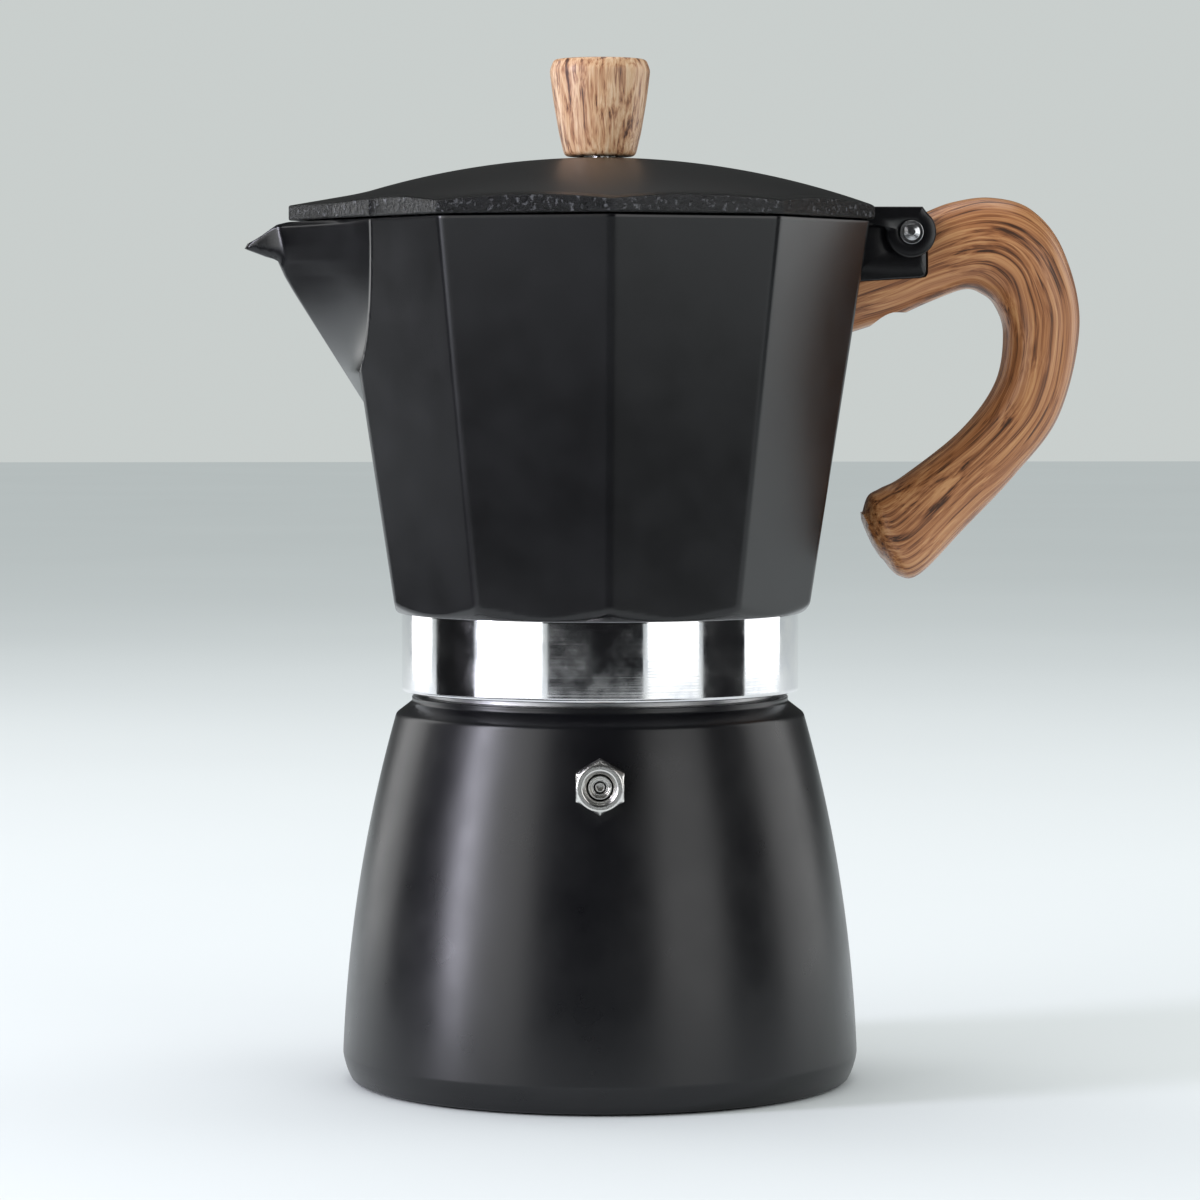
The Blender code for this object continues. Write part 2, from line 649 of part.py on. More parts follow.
def make_funnel():
    basket_foot, tube_top, tube_mouth = funnel_levels()
    bore = FUNNEL_RADIUS - FUNNEL_SHEET
    tube_bore = FUNNEL_TUBE_RADIUS - FUNNEL_SHEET
    outline = [
        (FLANGE_RADIUS, FLANGE_TOP),
        (FLANGE_RADIUS, FLANGE_BOTTOM),
        (FUNNEL_RADIUS, FLANGE_BOTTOM),
        (FUNNEL_RADIUS, basket_foot + 1.5 * MM),
        (FUNNEL_RADIUS - 1.5 * MM, basket_foot),
        (FUNNEL_TUBE_RADIUS, tube_top),
        (FUNNEL_TUBE_RADIUS, tube_mouth),
        (tube_bore, tube_mouth),
        (tube_bore, tube_top + 0.5 * MM),
        (bore - 1.3 * MM, basket_foot + FUNNEL_SHEET),
        (bore, basket_foot + FUNNEL_SHEET + 1.3 * MM),
        (bore, FLANGE_TOP),
    ]
    turned("funnel", outline, cast_aluminium(), MEDIUM_ROUND)


def make_funnel_sieve():
    basket_foot = funnel_levels()[0]
    radius = FUNNEL_RADIUS - FUNNEL_SHEET - 2 * RUNNING
    seat = basket_foot + FUNNEL_SHEET + 1.3 * MM + GAP
    perforated_disc("funnel_sieve", radius, seat, SIEVE_SHEET, cast_aluminium(), radius - 4 * MM)


def make_gasket():
    edge = 0.4 * MM
    outline = [
        (GASKET_BORE, GASKET_BOTTOM),
        (GASKET_RADIUS - edge, GASKET_BOTTOM),
        (GASKET_RADIUS, GASKET_BOTTOM + edge),
        (GASKET_RADIUS, GASKET_TOP - edge),
        (GASKET_RADIUS - edge, GASKET_TOP),
        (GASKET_BORE, GASKET_TOP),
    ]
    turned("gasket", outline, silicone(), MEDIUM_ROUND)


def make_filter_plate():
    outer = GASKET_BORE - RUNNING
    inner = outer - FILTER_RIM_SHEET
    low = GASKET_BOTTOM + 0.3 * MM
    plate = perforated_disc(
        "filter_plate", outer - FILTER_RIM_SHEET / 2, low + 0.2 * MM, FILTER_SHEET,
        polished_steel(), inner - 2 * MM,
    )
    rim = [(inner, low), (outer, low), (outer, GASKET_TOP), (inner, GASKET_TOP)]
    combine(plate, turned("filter_rim", rim, None, MEDIUM_ROUND), "UNION")


def keel_disc(x, z, radius, sides=8, blunt=False):
    """A level ring of points whose leading corner, or if blunt its leading side, is at x."""
    first = math.pi / sides if blunt else 0.0
    middle = x + radius * math.cos(first)
    angles = [first + 2 * math.pi * i / sides for i in range(sides)]
    return [(middle - radius * math.cos(a), radius * math.sin(a), z) for a in angles]


def spout_corner(inset, height):
    """Where a spout side meets the chamber's facet at the rim, as (x, y) moved in by inset."""
    first = decagon(CHAMBER_RIM_RADIUS, height)[FACETS // 2 - 1]
    second = decagon(CHAMBER_RIM_RADIUS, height)[FACETS // 2 - 2]
    x = first[0] + (second[0] - first[0]) * SPOUT_SPREAD
    y = first[1] + (second[1] - first[1]) * SPOUT_SPREAD
    return x + inset, y - 1.3 * inset


def spout_lines():
    """Side view of the spout, as (x, z): keel foot, keel head, lip start, tip and top edge."""
    tip_x = -(RIM_FACET + SPOUT_REACH)
    foot_z = RIM - SPOUT_DROP
    foot_x = -chamber_radius(foot_z) * math.cos(HALF_FACET)
    return {
        "foot": (foot_x, foot_z),
        "head": (tip_x + 6.9 * MM, RIM - 9.3 * MM),
        "lip": (tip_x + 4.6 * MM, RIM - 6.9 * MM),
        "tip": (tip_x, RIM - 5.2 * MM),
        "edge": (tip_x + 5.2 * MM, RIM - 0.9 * MM),
        "back": (tip_x + 8.6 * MM, RIM),
    }


def make_spout_outside():
    lines = spout_lines()
    side_x, side_y = spout_corner(SPOUT_SINK, RIM)
    root = [(side_x + 3 * MM, side * side_y, RIM) for side in (1, -1)]
    root += [(side_x, side * side_y, RIM) for side in (1, -1)]
    radius = SPOUT_KEEL_RADIUS
    rear = [(-RIM_FACET + 6 * MM, 0, RIM), (lines["foot"][0] + 6 * MM, 0, lines["foot"][1])]
    trunk = keel_disc(*lines["foot"], 0.4 * MM) + keel_disc(*lines["head"], radius) + root + rear
    trunk += keel_disc(lines["edge"][0] + LIP_STAND, lines["edge"][1] - LIP_STAND, radius)
    trunk += keel_disc(lines["back"][0] + LIP_STAND, RIM, radius)
    tip_x, tip_z = lines["tip"]
    discs = [(*lines["lip"], 0.8), (tip_x, tip_z, 0.5), (tip_x + 0.6 * MM, tip_z + MM, 0.6)]
    discs += [(*lines["edge"], 1.2), (lines["back"][0], RIM - LIP_STAND / 2, 1.5)]
    discs += [(lines["head"][0] + 2 * MM, lines["head"][1] + 1.6 * MM, 1.0)]
    lip = []
    for x, z, share in discs:
        lip += keel_disc(x, z, share * radius, blunt=True)
    return hull("spout_trunk", trunk), hull("spout_lip", lip)


def make_spout_channel():
    """The hollow of the spout: a tapered trough and, from it, the shallow groove over the lip."""
    lines = spout_lines()
    wall = SPOUT_WALL
    above = RIM + 6 * MM
    side_x, side_y = spout_corner(wall, RIM)
    inner = 0.6 * SPOUT_KEEL_RADIUS
    foot = (lines["foot"][0] + 1.9 * wall, lines["foot"][1] + 1.2 * wall)
    head = (lines["head"][0] + 1.3 * wall, lines["head"][1] + 1.1 * wall)
    crest = (lines["back"][0] + 0.8 * wall, RIM)
    root = [(side_x + 8 * MM, side * (side_y - 1 * MM), z) for side in (1, -1) for z in (RIM, above)]
    root += [(side_x, side * side_y, z) for side in (1, -1) for z in (RIM, above)]
    trough = keel_disc(*foot, 0.3 * MM) + keel_disc(*head, inner) + root
    trough += keel_disc(*crest, inner) + keel_disc(crest[0], above, inner)
    trough += [(foot[0] + 8 * MM, 0, foot[1])]
    mouth = (lines["tip"][0] - 1.5 * MM, lines["tip"][1] + 1.1 * MM)
    groove = keel_disc(*mouth, inner) + keel_disc(mouth[0], above, inner)
    groove += keel_disc(head[0] + 0.3 * MM, head[1] + 0.6 * MM, inner)
    groove += keel_disc(head[0] + 0.3 * MM, above, 1.8 * inner)
    return hull("spout_trough", trough), hull("spout_groove", groove)


def bracket_outline(grow=0.0):
    """Side view of the cast bracket behind the chamber, grown by a clearance."""
    inside_wall = RIM_FACET - 4.5 * MM
    bottom = PIN_Z - BRACKET_DEPTH - grow
    face = PIN_X + BRACKET_REACH + grow
    round_off = 1.2 * MM
    radius = KNUCKLE_RADIUS + grow
    start = -math.degrees(math.acos(BRACKET_REACH / KNUCKLE_RADIUS))
    outline = [(inside_wall, bottom - 0.9 * MM), (face - round_off, bottom)]
    outline += arc((face - round_off, bottom + round_off), round_off, -60, 0, 3)
    outline += arc((PIN_X, PIN_Z), radius, start, 150, 12)
    shelf = RIM - 0.4 * MM + grow
    outline += [(PIN_X - KNUCKLE_RADIUS - 1.2 * MM, shelf), (inside_wall, shelf)]
    return outline


def underside_outline():
    """Hollow under the chamber's floor: threaded bore, gasket pocket, cone and column bore."""
    pocket = GASKET_RADIUS + RUNNING
    cone_top = SEAT + 0.55 * CHAMBER_FLOOR
    spigot = COLUMN_SPIGOT_RADIUS + GAP
    return [
        (0, COLLAR_BOTTOM - 2 * MM),
        (COLLAR_BORE + 2 * COLLAR_EDGE, COLLAR_BOTTOM - 2 * MM),
        (COLLAR_BORE + COLLAR_EDGE, COLLAR_BOTTOM - 0.01 * MM),
        (COLLAR_BORE, COLLAR_BOTTOM + COLLAR_EDGE),
        (COLLAR_BORE, GASKET_BOTTOM),
        (pocket, GASKET_BOTTOM),
        (pocket, SEAT),
        (GASKET_BORE - 1.0 * MM, SEAT),
        (spigot + MM, cone_top),
        (spigot, cone_top),
        (spigot, FLOOR_TOP + 2 * MM),
        (0, FLOOR_TOP + 2 * MM),
    ]


def make_upper_chamber():
    chamber = tapered_decagon(
        "upper_chamber", CHAMBER_BASE, RIM, rounding=FACET_ROUNDING, surface=black_paint()
    )
    corner_radius = chamber_radius(CHAMBER_BASE) - CORNER_REACH + 1.2 * MM
    turned_corner = [
        (0, CHAMBER_BASE - MM),
        (corner_radius, CHAMBER_BASE - MM),
        (corner_radius, CHAMBER_BASE + 0.2 * MM),
    ]
    turned_corner += bulged(
        turned_corner[-1], (corner_radius + CORNER_REACH, CHAMBER_BASE + CORNER_RISE), 0.7 * MM, 3
    )[1:]
    limit = CHAMBER_RIM_RADIUS + 20 * MM
    turned_corner += [(limit, CHAMBER_BASE + CORNER_RISE + MM), (limit, RIM + MM), (0, RIM + MM)]
    combine(chamber, turned("chamber_corner", turned_corner, None), "INTERSECT")
    collar = [
        (0, COLLAR_BOTTOM),
        (COLLAR_RADIUS - COLLAR_EDGE, COLLAR_BOTTOM),
        (COLLAR_RADIUS, COLLAR_BOTTOM + COLLAR_EDGE),
        (COLLAR_RADIUS, CHAMBER_BASE + 1.4 * MM),
        (0, CHAMBER_BASE + 1.4 * MM),
    ]
    combine(chamber, turned("chamber_collar", collar, None), "UNION")
    for piece in make_spout_outside():
        combine(chamber, piece, "UNION")
    half = KNUCKLE_WIDTH / 2
    combine(chamber, extruded("bracket_block", bracket_outline(), -half, half), "UNION")
    hollow = tapered_decagon("chamber_hollow", FLOOR_TOP, RIM + 3 * MM, grow=-CHAMBER_WALL)
    combine(chamber, hollow, "DIFFERENCE")
    for piece in make_spout_channel():
        combine(chamber, piece, "DIFFERENCE")
    combine(chamber, turned("underside_hollow", underside_outline(), None), "DIFFERENCE")
    first_ridge = NECK_FLOOR + THREAD_LEAD_IN + THREAD_PITCH / 4
    ridge = thread_ridge(
        "collar_thread", COLLAR_BORE, COLLAR_BORE - THREAD_DEPTH, -math.pi / 2, first_ridge,
        COLLAR_THREAD_TURNS,
    )
    combine(chamber, ridge, "UNION")
    pin_hole = drum("pin_hole", PIN_RADIUS + RUNNING, -half - MM, half + MM, "Y", (PIN_X, PIN_Z))
    combine(chamber, pin_hole, "DIFFERENCE")
    bottom = PIN_Z - BRACKET_DEPTH
    screw_hole = drum(
        "bracket_screw_hole", HANDLE_SCREW_RADIUS + GAP, bottom - 3 * MM,
        bottom + HANDLE_SCREW_BITE + MM, centre=(PIN_X + HANDLE_SCREW_X, 0), sides=12,
    )
    combine(chamber, screw_hole, "DIFFERENCE")


def make_riser_column():
    foot = FLOOR_TOP + GAP
    top = foot + COLUMN_HEIGHT
    outline = [
        (COLUMN_BORE, SEAT + 0.55 * CHAMBER_FLOOR),
        (COLUMN_SPIGOT_RADIUS, SEAT + 0.55 * CHAMBER_FLOOR),
        (COLUMN_SPIGOT_RADIUS, foot),
        (COLUMN_FOOT_RADIUS, foot),
        (COLUMN_FOOT_RADIUS, foot + 2 * MM),
        (COLUMN_FOOT_RADIUS - 1.2 * MM, foot + 3 * MM),
        (COLUMN_TOP_RADIUS, top - 2 * MM),
        (COLUMN_TOP_RADIUS - 2 * MM, top),
        (0, top),
        (0, top - COLUMN_CAP),
        (COLUMN_BORE, top - COLUMN_CAP),
    ]
    bm = bmesh.new()
    points = [bm.verts.new((radius, 0.0, height)) for radius, height in outline]
    edges = [bm.edges.new((a, b)) for a, b in zip(points, points[1:] + points[:1])]
    axis_edge = bm.edges.get((points[8], points[9]))
    edges.remove(axis_edge)
    bm.edges.remove(axis_edge)
    bmesh.ops.spin(
        bm, geom=points + edges, angle=2 * math.pi, steps=24, axis=(0, 0, 1), cent=(0, 0, 0),
        use_merge=True,
    )
    bmesh.ops.remove_doubles(bm, verts=bm.verts, dist=0.001 * MM)
    column = finish_object("riser_column", bm, cast_aluminium())
    slot_top = top - COLUMN_CAP
    half = COLUMN_SLOT_WIDTH / 2
    reach = COLUMN_FOOT_RADIUS + MM
    corners = [
        (x, y, z)
        for x in (-reach, reach)
        for y in (-half, half)
        for z in (slot_top - COLUMN_SLOT_HEIGHT, slot_top)
    ]
    combine(column, hull("column_slot", corners), "DIFFERENCE")


def lid_sphere(radius, below_top):
    """Height of a dome below the lid's top at a distance from the axis."""
    dome = LID_DOME_RADIUS - below_top
    return LID_TOP - LID_DOME_RADIUS + math.sqrt(dome**2 - radius**2)


def ear_outline():
    """Side view of one hinge ear of the lid, from inside the rim round the pin."""
    root = LID_RADIUS * math.cos(HALF_FACET) - 3 * MM
    top = LID_BOTTOM + LID_RIM - 0.3 * MM
    outline = [(root, top), (root, LID_BOTTOM)]
    outline += [(PIN_X - EAR_RADIUS - 1.6 * MM, LID_BOTTOM)]
    outline += arc((PIN_X, PIN_Z), EAR_RADIUS, 176, 395, 16)
    outline += [(PIN_X + 3.0 * MM, top - 1.1 * MM), (PIN_X + 2.2 * MM, top)]
    return outline


def make_lid():
    dome = [(0, LID_BOTTOM), (LID_RADIUS + 3 * MM, LID_BOTTOM)]
    reach = [LID_RADIUS + 3 * MM - i * (LID_RADIUS + 3 * MM) / 7 for i in range(7)]
    dome += [(r, lid_sphere(r, 0)) for r in reach] + [(0, LID_TOP)]
    lid = turned("lid", dome, black_paint(), 40)
    bm = bmesh.new()
    low = [bm.verts.new(p) for p in decagon(LID_RADIUS, LID_BOTTOM - MM)]
    high = [bm.verts.new(p) for p in decagon(LID_RADIUS, LID_TOP + MM)]
    bm.faces.new(low)
    bm.faces.new(high)
    for i in range(FACETS):
        j = (i + 1) % FACETS
        bm.faces.new((low[i], low[j], high[j], high[i]))
    combine(lid, finish_object("lid_facets", bm, None, smooth=False), "INTERSECT")
    combine(lid, make_beak(0.0), "UNION")
    hollow_radius = LID_RADIUS * math.cos(HALF_FACET) - LID_RIM_WIDTH
    hollow = [(0, LID_BOTTOM - MM), (hollow_radius, LID_BOTTOM - MM)]
    inner = [hollow_radius - i * hollow_radius / 6 for i in range(6)]
    hollow += [(r, lid_sphere(r, LID_SHEET)) for r in inner] + [(0, LID_TOP - LID_SHEET)]
    combine(lid, turned("lid_hollow", hollow, None, 40), "DIFFERENCE")
    combine(lid, make_beak(LID_SHEET), "DIFFERENCE")
    for side, word in ((-1, "front"), (1, "back")):
        low_y, high_y = sorted((side * EAR_INNER, side * EAR_OUTER))
        combine(lid, extruded(f"lid_ear_{word}", ear_outline(), low_y, high_y), "UNION")
    bore = drum(
        "lid_pin_hole", PIN_RADIUS + RUNNING, -EAR_OUTER - MM, EAR_OUTER + MM, "Y", (PIN_X, PIN_Z)
    )
    combine(lid, bore, "DIFFERENCE")
    knob_hole = drum("knob_hole", KNOB_SCREW_RADIUS + GAP, LID_TOP - 8 * MM, LID_TOP + 3 * MM)
    combine(lid, knob_hole, "DIFFERENCE")


def make_beak(inset):
    """The lid's pointed part over the spout, or with an inset the hollow under it."""
    side_x, side_y = spout_corner(0, RIM)
    side_x -= 0.5 * MM * (inset == 0)
    side_y = side_y + 0.4 * MM - 2.2 * inset
    nose_x = -(RIM_FACET + BEAK_REACH) + 1.6 * inset
    low = LID_BOTTOM - (MM if inset else 0)
    high = LID_BOTTOM + LID_RIM - inset * 0.6
    crown = LID_BOTTOM + BEAK_TOP_HEIGHT - inset * 1.1
    points = []
    for level in (low, high):
        points += keel_disc(nose_x, level, BEAK_NOSE_RADIUS)
        points += [(side_x, side * side_y, level) for side in (1, -1)]
    points += [(BEAK_TOP_X, 0, crown), (BEAK_TOP_X, 0, low)]
    return hull("beak_hollow" if inset else "beak", points)


def make_hinge_pin():
    end = EAR_OUTER + GAP + HINGE_WASHER_SHEET + GAP
    crown = end + PIN_HEAD
    outline = [(0, -crown), (PIN_HEAD_RADIUS - 0.6 * MM, -crown)]
    outline += [(PIN_HEAD_RADIUS, -end - 0.2 * MM), (PIN_HEAD_RADIUS, -end), (PIN_RADIUS, -end)]
    outline += [(radius, -height) for radius, height in reversed(outline)]
    pin = turned("hinge_pin", outline, polished_steel(), SMALL_ROUND)
    pin.location = (PIN_X, 0, PIN_Z)
    pin.rotation_euler = (math.pi / 2, 0, 0)


def make_hinge_washers():
    inner = PIN_RADIUS + GAP
    low = EAR_OUTER + GAP
    high = low + HINGE_WASHER_SHEET
    ring = [(inner, low), (HINGE_WASHER_RADIUS, low), (HINGE_WASHER_RADIUS, high), (inner, high)]
    for name, turn in (("hinge_washer_front", math.pi / 2), ("hinge_washer_back", -math.pi / 2)):
        washer = turned(name, ring, polished_steel(), SMALL_ROUND)
        washer.location = (PIN_X, 0, PIN_Z)
        washer.rotation_euler = (turn, 0, 0)


def make_lid_knob():
    foot = LID_TOP + GAP
    top = foot + KNOB_HEIGHT
    bore = INSERT_RADIUS + GAP
    bore_top = foot + INSERT_LENGTH + 2 * MM
    outline = [(bore, foot), (KNOB_FOOT_RADIUS - 0.5 * MM, foot), (KNOB_FOOT_RADIUS, foot + 0.5 * MM)]
    outline += [(KNOB_FOOT_RADIUS + 1.1 * MM, foot + 0.24 * KNOB_HEIGHT)]
    outline += [(KNOB_TOP_RADIUS - 0.8 * MM, foot + 0.58 * KNOB_HEIGHT)]
    corner = (KNOB_TOP_RADIUS - KNOB_ROUNDING, top - KNOB_ROUNDING)
    outline += arc(corner, KNOB_ROUNDING, 0, 75, 4) + [(0, top), (0, bore_top)]
    outline += [(bore, bore_top)]
    bm = bmesh.new()
    points = [bm.verts.new((radius, 0.0, height)) for radius, height in outline]
    edges = [
        bm.edges.new((a, b))
        for a, b in zip(points, points[1:] + points[:1])
        if a.co.x > 0 or b.co.x > 0
    ]
    bmesh.ops.spin(
        bm, geom=points + edges, angle=2 * math.pi, steps=MEDIUM_ROUND, axis=(0, 0, 1),
        cent=(0, 0, 0), use_merge=True,
    )
    bmesh.ops.remove_doubles(bm, verts=bm.verts, dist=0.001 * MM)
    finish_object("lid_knob", bm, pale_wood())


def make_knob_insert():
    foot = LID_TOP + GAP
    inner = KNOB_SCREW_RADIUS + GAP
    top = foot + INSERT_LENGTH
    ring = [(inner, foot), (INSERT_RADIUS, foot), (INSERT_RADIUS, top), (inner, top)]
    turned("knob_insert", ring, brass(), SMALL_ROUND)


def make_screw(name, radius, seat, tip, x=0.0):
    """A pan-head screw pointing up: its head's upper face at seat and its end at tip."""
    head = SCREW_HEAD_SHARE * radius
    depth = 1.1 * radius
    outline = [
        (0, seat - depth),
        (head - 0.5 * MM, seat - depth),
        (head, seat - depth + 0.6 * MM),
        (head, seat),
        (radius, seat),
        (radius, tip - 0.4 * MM),
        (radius - 0.4 * MM, tip),
        (0, tip),
    ]
    screw = turned(name, outline, polished_steel(), SMALL_ROUND, (x, 0, 0))
    slot = [
        (x + dx, dy, z)
        for dx in (-head - MM, head + MM)
        for dy in (-0.4 * MM, 0.4 * MM)
        for z in (seat - depth - MM, seat - depth + 0.8 * MM)
    ]
    combine(screw, hull(f"{name}_slot", slot), "DIFFERENCE")


def make_washer(name, radius, bottom, x=0.0):
    inner = radius + GAP
    outer = WASHER_SHARE * radius
    top = bottom + WASHER_SHEET
    ring = [(inner, bottom), (outer, bottom), (outer, top), (inner, top)]
    turned(name, ring, polished_steel(), SMALL_ROUND, (x, 0, 0))


def make_knob_fastening():
    """Screw and washer that hold the knob from under the lid."""
    underside = lid_sphere(WASHER_SHARE * KNOB_SCREW_RADIUS, LID_SHEET)
    washer_bottom = underside - GAP - WASHER_SHEET
    make_washer("knob_washer", KNOB_SCREW_RADIUS, washer_bottom)
    tip = LID_TOP + GAP + KNOB_SCREW_GRIP
    make_screw("knob_screw", KNOB_SCREW_RADIUS, washer_bottom - GAP, tip)


def smooth_through(rows, share):
    """A row of numbers on the smooth curve through all rows, at a share from 0 to 1 along it."""
    place = share * (len(rows) - 1)
    i = min(int(place), len(rows) - 2)
    t = place - i
    before = rows[max(i - 1, 0)]
    after = rows[min(i + 2, len(rows) - 1)]
    return [
        0.5 * (2 * b + (c - a) * t + (2 * a - 5 * b + 4 * c - d) * t**2 + (3 * b - a - 3 * c + d) * t**3)
        for a, b, c, d in zip(before, rows[i], rows[i + 1], after)
    ]


def handle_ring(rib):
    """Points around the handle at one rib: an oval a little squarer than an ellipse."""
    outer_x, outer_z, inner_x, inner_z, half_width = (value * MM for value in rib)
    points = []
    for k in range(HANDLE_SIDES):
        around = 2 * math.pi * k / HANDLE_SIDES
        across, along = math.cos(around), math.sin(around)
        across = math.copysign(abs(across) ** (2 / HANDLE_SQUARENESS), across)
        along = math.copysign(abs(along) ** (2 / HANDLE_SQUARENESS), along)
        x = (outer_x + inner_x) / 2 + (outer_x - inner_x) / 2 * across
        z = (outer_z + inner_z) / 2 + (outer_z - inner_z) / 2 * across
        points.append((PIN_X + x, half_width * along, PIN_Z + z))
    return points


def make_handle():
    stations = HANDLE_STATIONS_PER_RIB * (len(HANDLE_RIBS) - 1)
    bm = bmesh.new()
    rings = []
    for i in range(stations + 1):
        rib = smooth_through(HANDLE_RIBS, i / stations)
        rings.append([bm.verts.new(point) for point in handle_ring(rib)])
    for ring, following in zip(rings, rings[1:]):
        for k in range(HANDLE_SIDES):
            n = (k + 1) % HANDLE_SIDES
            bm.faces.new((ring[k], ring[n], following[n], following[k]))
    bm.faces.new(rings[0])
    bm.faces.new(rings[-1])
    handle = finish_object("handle", bm, wood_grip())
    room = KNUCKLE_WIDTH / 2 + 8 * MM
    combine(handle, extruded("handle_bracket_cut", bracket_outline(GAP), -room, room), "DIFFERENCE")
    reach = HANDLE_RIBS[2][0] * MM
    above = [(PIN_X - 12 * MM, RIM - MM), (PIN_X + reach, RIM + 12 * MM), (PIN_X - 12 * MM, RIM + 12 * MM)]
    above.insert(1, (PIN_X + 1.5 * MM, RIM - MM))
    combine(handle, extruded("handle_top_cut", above, -room, room), "DIFFERENCE")
    body_cut = tapered_decagon("handle_body_cut", RIM - 40 * MM, RIM + 3 * MM, grow=GAP)
    combine(handle, body_cut, "DIFFERENCE")
    seat = handle_screw_seat()
    x = PIN_X + HANDLE_SCREW_X
    hole = HANDLE_SCREW_RADIUS + GAP
    recess = WASHER_SHARE * HANDLE_SCREW_RADIUS + GAP
    stepped = [(0, seat - 12 * MM), (recess, seat - 12 * MM), (recess, seat), (hole, seat)]
    stepped += [(hole, seat + 12 * MM), (0, seat + 12 * MM)]
    combine(handle, turned("handle_screw_hole", stepped, None, SMALL_ROUND, (x, 0, 0)), "DIFFERENCE")


def handle_screw_seat():
    """Height of the face inside the handle that the screw's washer presses on."""
    return PIN_Z - BRACKET_DEPTH - GAP - HANDLE_SCREW_SEAT


def make_handle_fastening():
    """Screw and washer that hold the handle from below, up into the bracket."""
    x = PIN_X + HANDLE_SCREW_X
    washer_bottom = handle_screw_seat() - GAP - WASHER_SHEET
    make_washer("handle_washer", HANDLE_SCREW_RADIUS, washer_bottom, x)
    tip = PIN_Z - BRACKET_DEPTH + HANDLE_SCREW_BITE
    make_screw("handle_screw", HANDLE_SCREW_RADIUS, washer_bottom - GAP, tip, x)


def main():
    clear_scene()
    make_boiler()
    make_valve_body()
    make_valve_washer()
    make_valve_plunger()
    make_valve_spring()
    make_valve_retainer()
    make_funnel()
    make_funnel_sieve()
    make_gasket()
    make_filter_plate()
    make_upper_chamber()
    make_riser_column()
    make_lid()
    make_hinge_pin()
    make_hinge_washers()
    make_lid_knob()
    make_knob_insert()
    make_knob_fastening()
    make_handle()
    make_handle_fastening()


main()
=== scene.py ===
# %% [markdown]
# # A moka pot, surface by surface
# The pot is three castings of aluminium that screw and hinge together, with turned, punched and
# moulded pieces between them. Each is rebuilt here as a surface worked out with numpy, in metres,
# on the solid model's own frame, and gets a finish named after how the real one is made.

import math

import bmesh
import bpy
import numpy as np
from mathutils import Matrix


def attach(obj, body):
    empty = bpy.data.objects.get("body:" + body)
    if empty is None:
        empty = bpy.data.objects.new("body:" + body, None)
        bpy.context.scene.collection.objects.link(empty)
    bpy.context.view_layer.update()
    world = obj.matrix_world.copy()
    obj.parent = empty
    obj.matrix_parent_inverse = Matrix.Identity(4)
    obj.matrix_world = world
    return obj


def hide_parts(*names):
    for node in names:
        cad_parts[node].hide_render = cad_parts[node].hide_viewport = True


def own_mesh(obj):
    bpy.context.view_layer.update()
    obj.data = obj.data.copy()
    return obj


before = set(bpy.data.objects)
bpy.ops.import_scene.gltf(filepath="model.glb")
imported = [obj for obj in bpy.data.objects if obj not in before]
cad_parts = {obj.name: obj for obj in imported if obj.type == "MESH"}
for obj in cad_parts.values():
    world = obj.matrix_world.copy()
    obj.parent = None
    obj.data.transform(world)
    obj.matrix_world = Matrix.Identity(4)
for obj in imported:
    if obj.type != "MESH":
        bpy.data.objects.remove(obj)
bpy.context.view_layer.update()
MM = 0.001

# %% [markdown]
# Every turned or moulded piece is a grid: rows along its profile, columns round it. One function
# makes the mesh from such a grid. It turns the faces round if the volume comes out negative, so a
# piece can't end up inside out, and it merges the points of a pole into one.

# %% Mesh from a grid


def linked(name, data):
    """Puts an object with this data into the scene."""
    made = bpy.data.objects.new(name, data)
    bpy.context.scene.collection.objects.link(made)
    return made


def grid_piece(name, points, along=False, maps=None):
    """Quads between neighbouring rows and columns. The columns always close, the rows if along.
    maps holds UV maps: name -> array (rows, columns + 1, 2). Its last column repeats the first."""
    rows, columns, _ = points.shape
    r, c = np.meshgrid(np.arange(rows if along else rows - 1), np.arange(columns), indexing="ij")
    after, beside = (r + 1) % rows, (c + 1) % columns
    quads = np.stack([r * columns + c, r * columns + beside, after * columns + beside,
                      after * columns + c], axis=-1).reshape(-1, 4)
    corners = np.stack([(r, c), (r, c + 1), (after, c + 1), (after, c)], axis=0)
    corners = corners.transpose(2, 3, 0, 1).reshape(-1, 4, 2)
    flat = points.reshape(-1, 3)
    a, b, d, e = (flat[quads[:, k]] for k in range(4))
    volume = (a * np.cross(b, d)).sum() + (a * np.cross(d, e)).sum()
    if volume < 0:
        quads, corners = quads[:, ::-1], corners[:, ::-1]
    mesh = bpy.data.meshes.new(name)
    mesh.vertices.add(len(flat))
    mesh.vertices.foreach_set("co", flat.astype(np.float32).ravel())
    mesh.loops.add(quads.size)
    mesh.loops.foreach_set("vertex_index", quads.astype(np.int32).ravel())
    mesh.polygons.add(len(quads))
    mesh.polygons.foreach_set("loop_start", np.arange(0, quads.size, 4, dtype=np.int32))
    mesh.update(calc_edges=True)
    for map_name, values in (maps or {}).items():
        layer = mesh.uv_layers.new(name=map_name)
        at = corners.reshape(-1, 2)
        layer.data.foreach_set("uv", values[at[:, 0], at[:, 1]].astype(np.float32).ravel())
    bm = bmesh.new()
    bm.from_mesh(mesh)
    bmesh.ops.remove_doubles(bm, verts=bm.verts, dist=1e-7)
    bm.to_mesh(mesh)
    bm.free()
    mesh.shade_smooth()
    return linked(name, mesh)


# %% [markdown]
# A profile is drawn with sharp corners and then eased, as a lathe tool or a mould eases them. Each
# corner becomes a small curve, with one more point on either side so that the flats shade flat.

# %% Profiles and turning


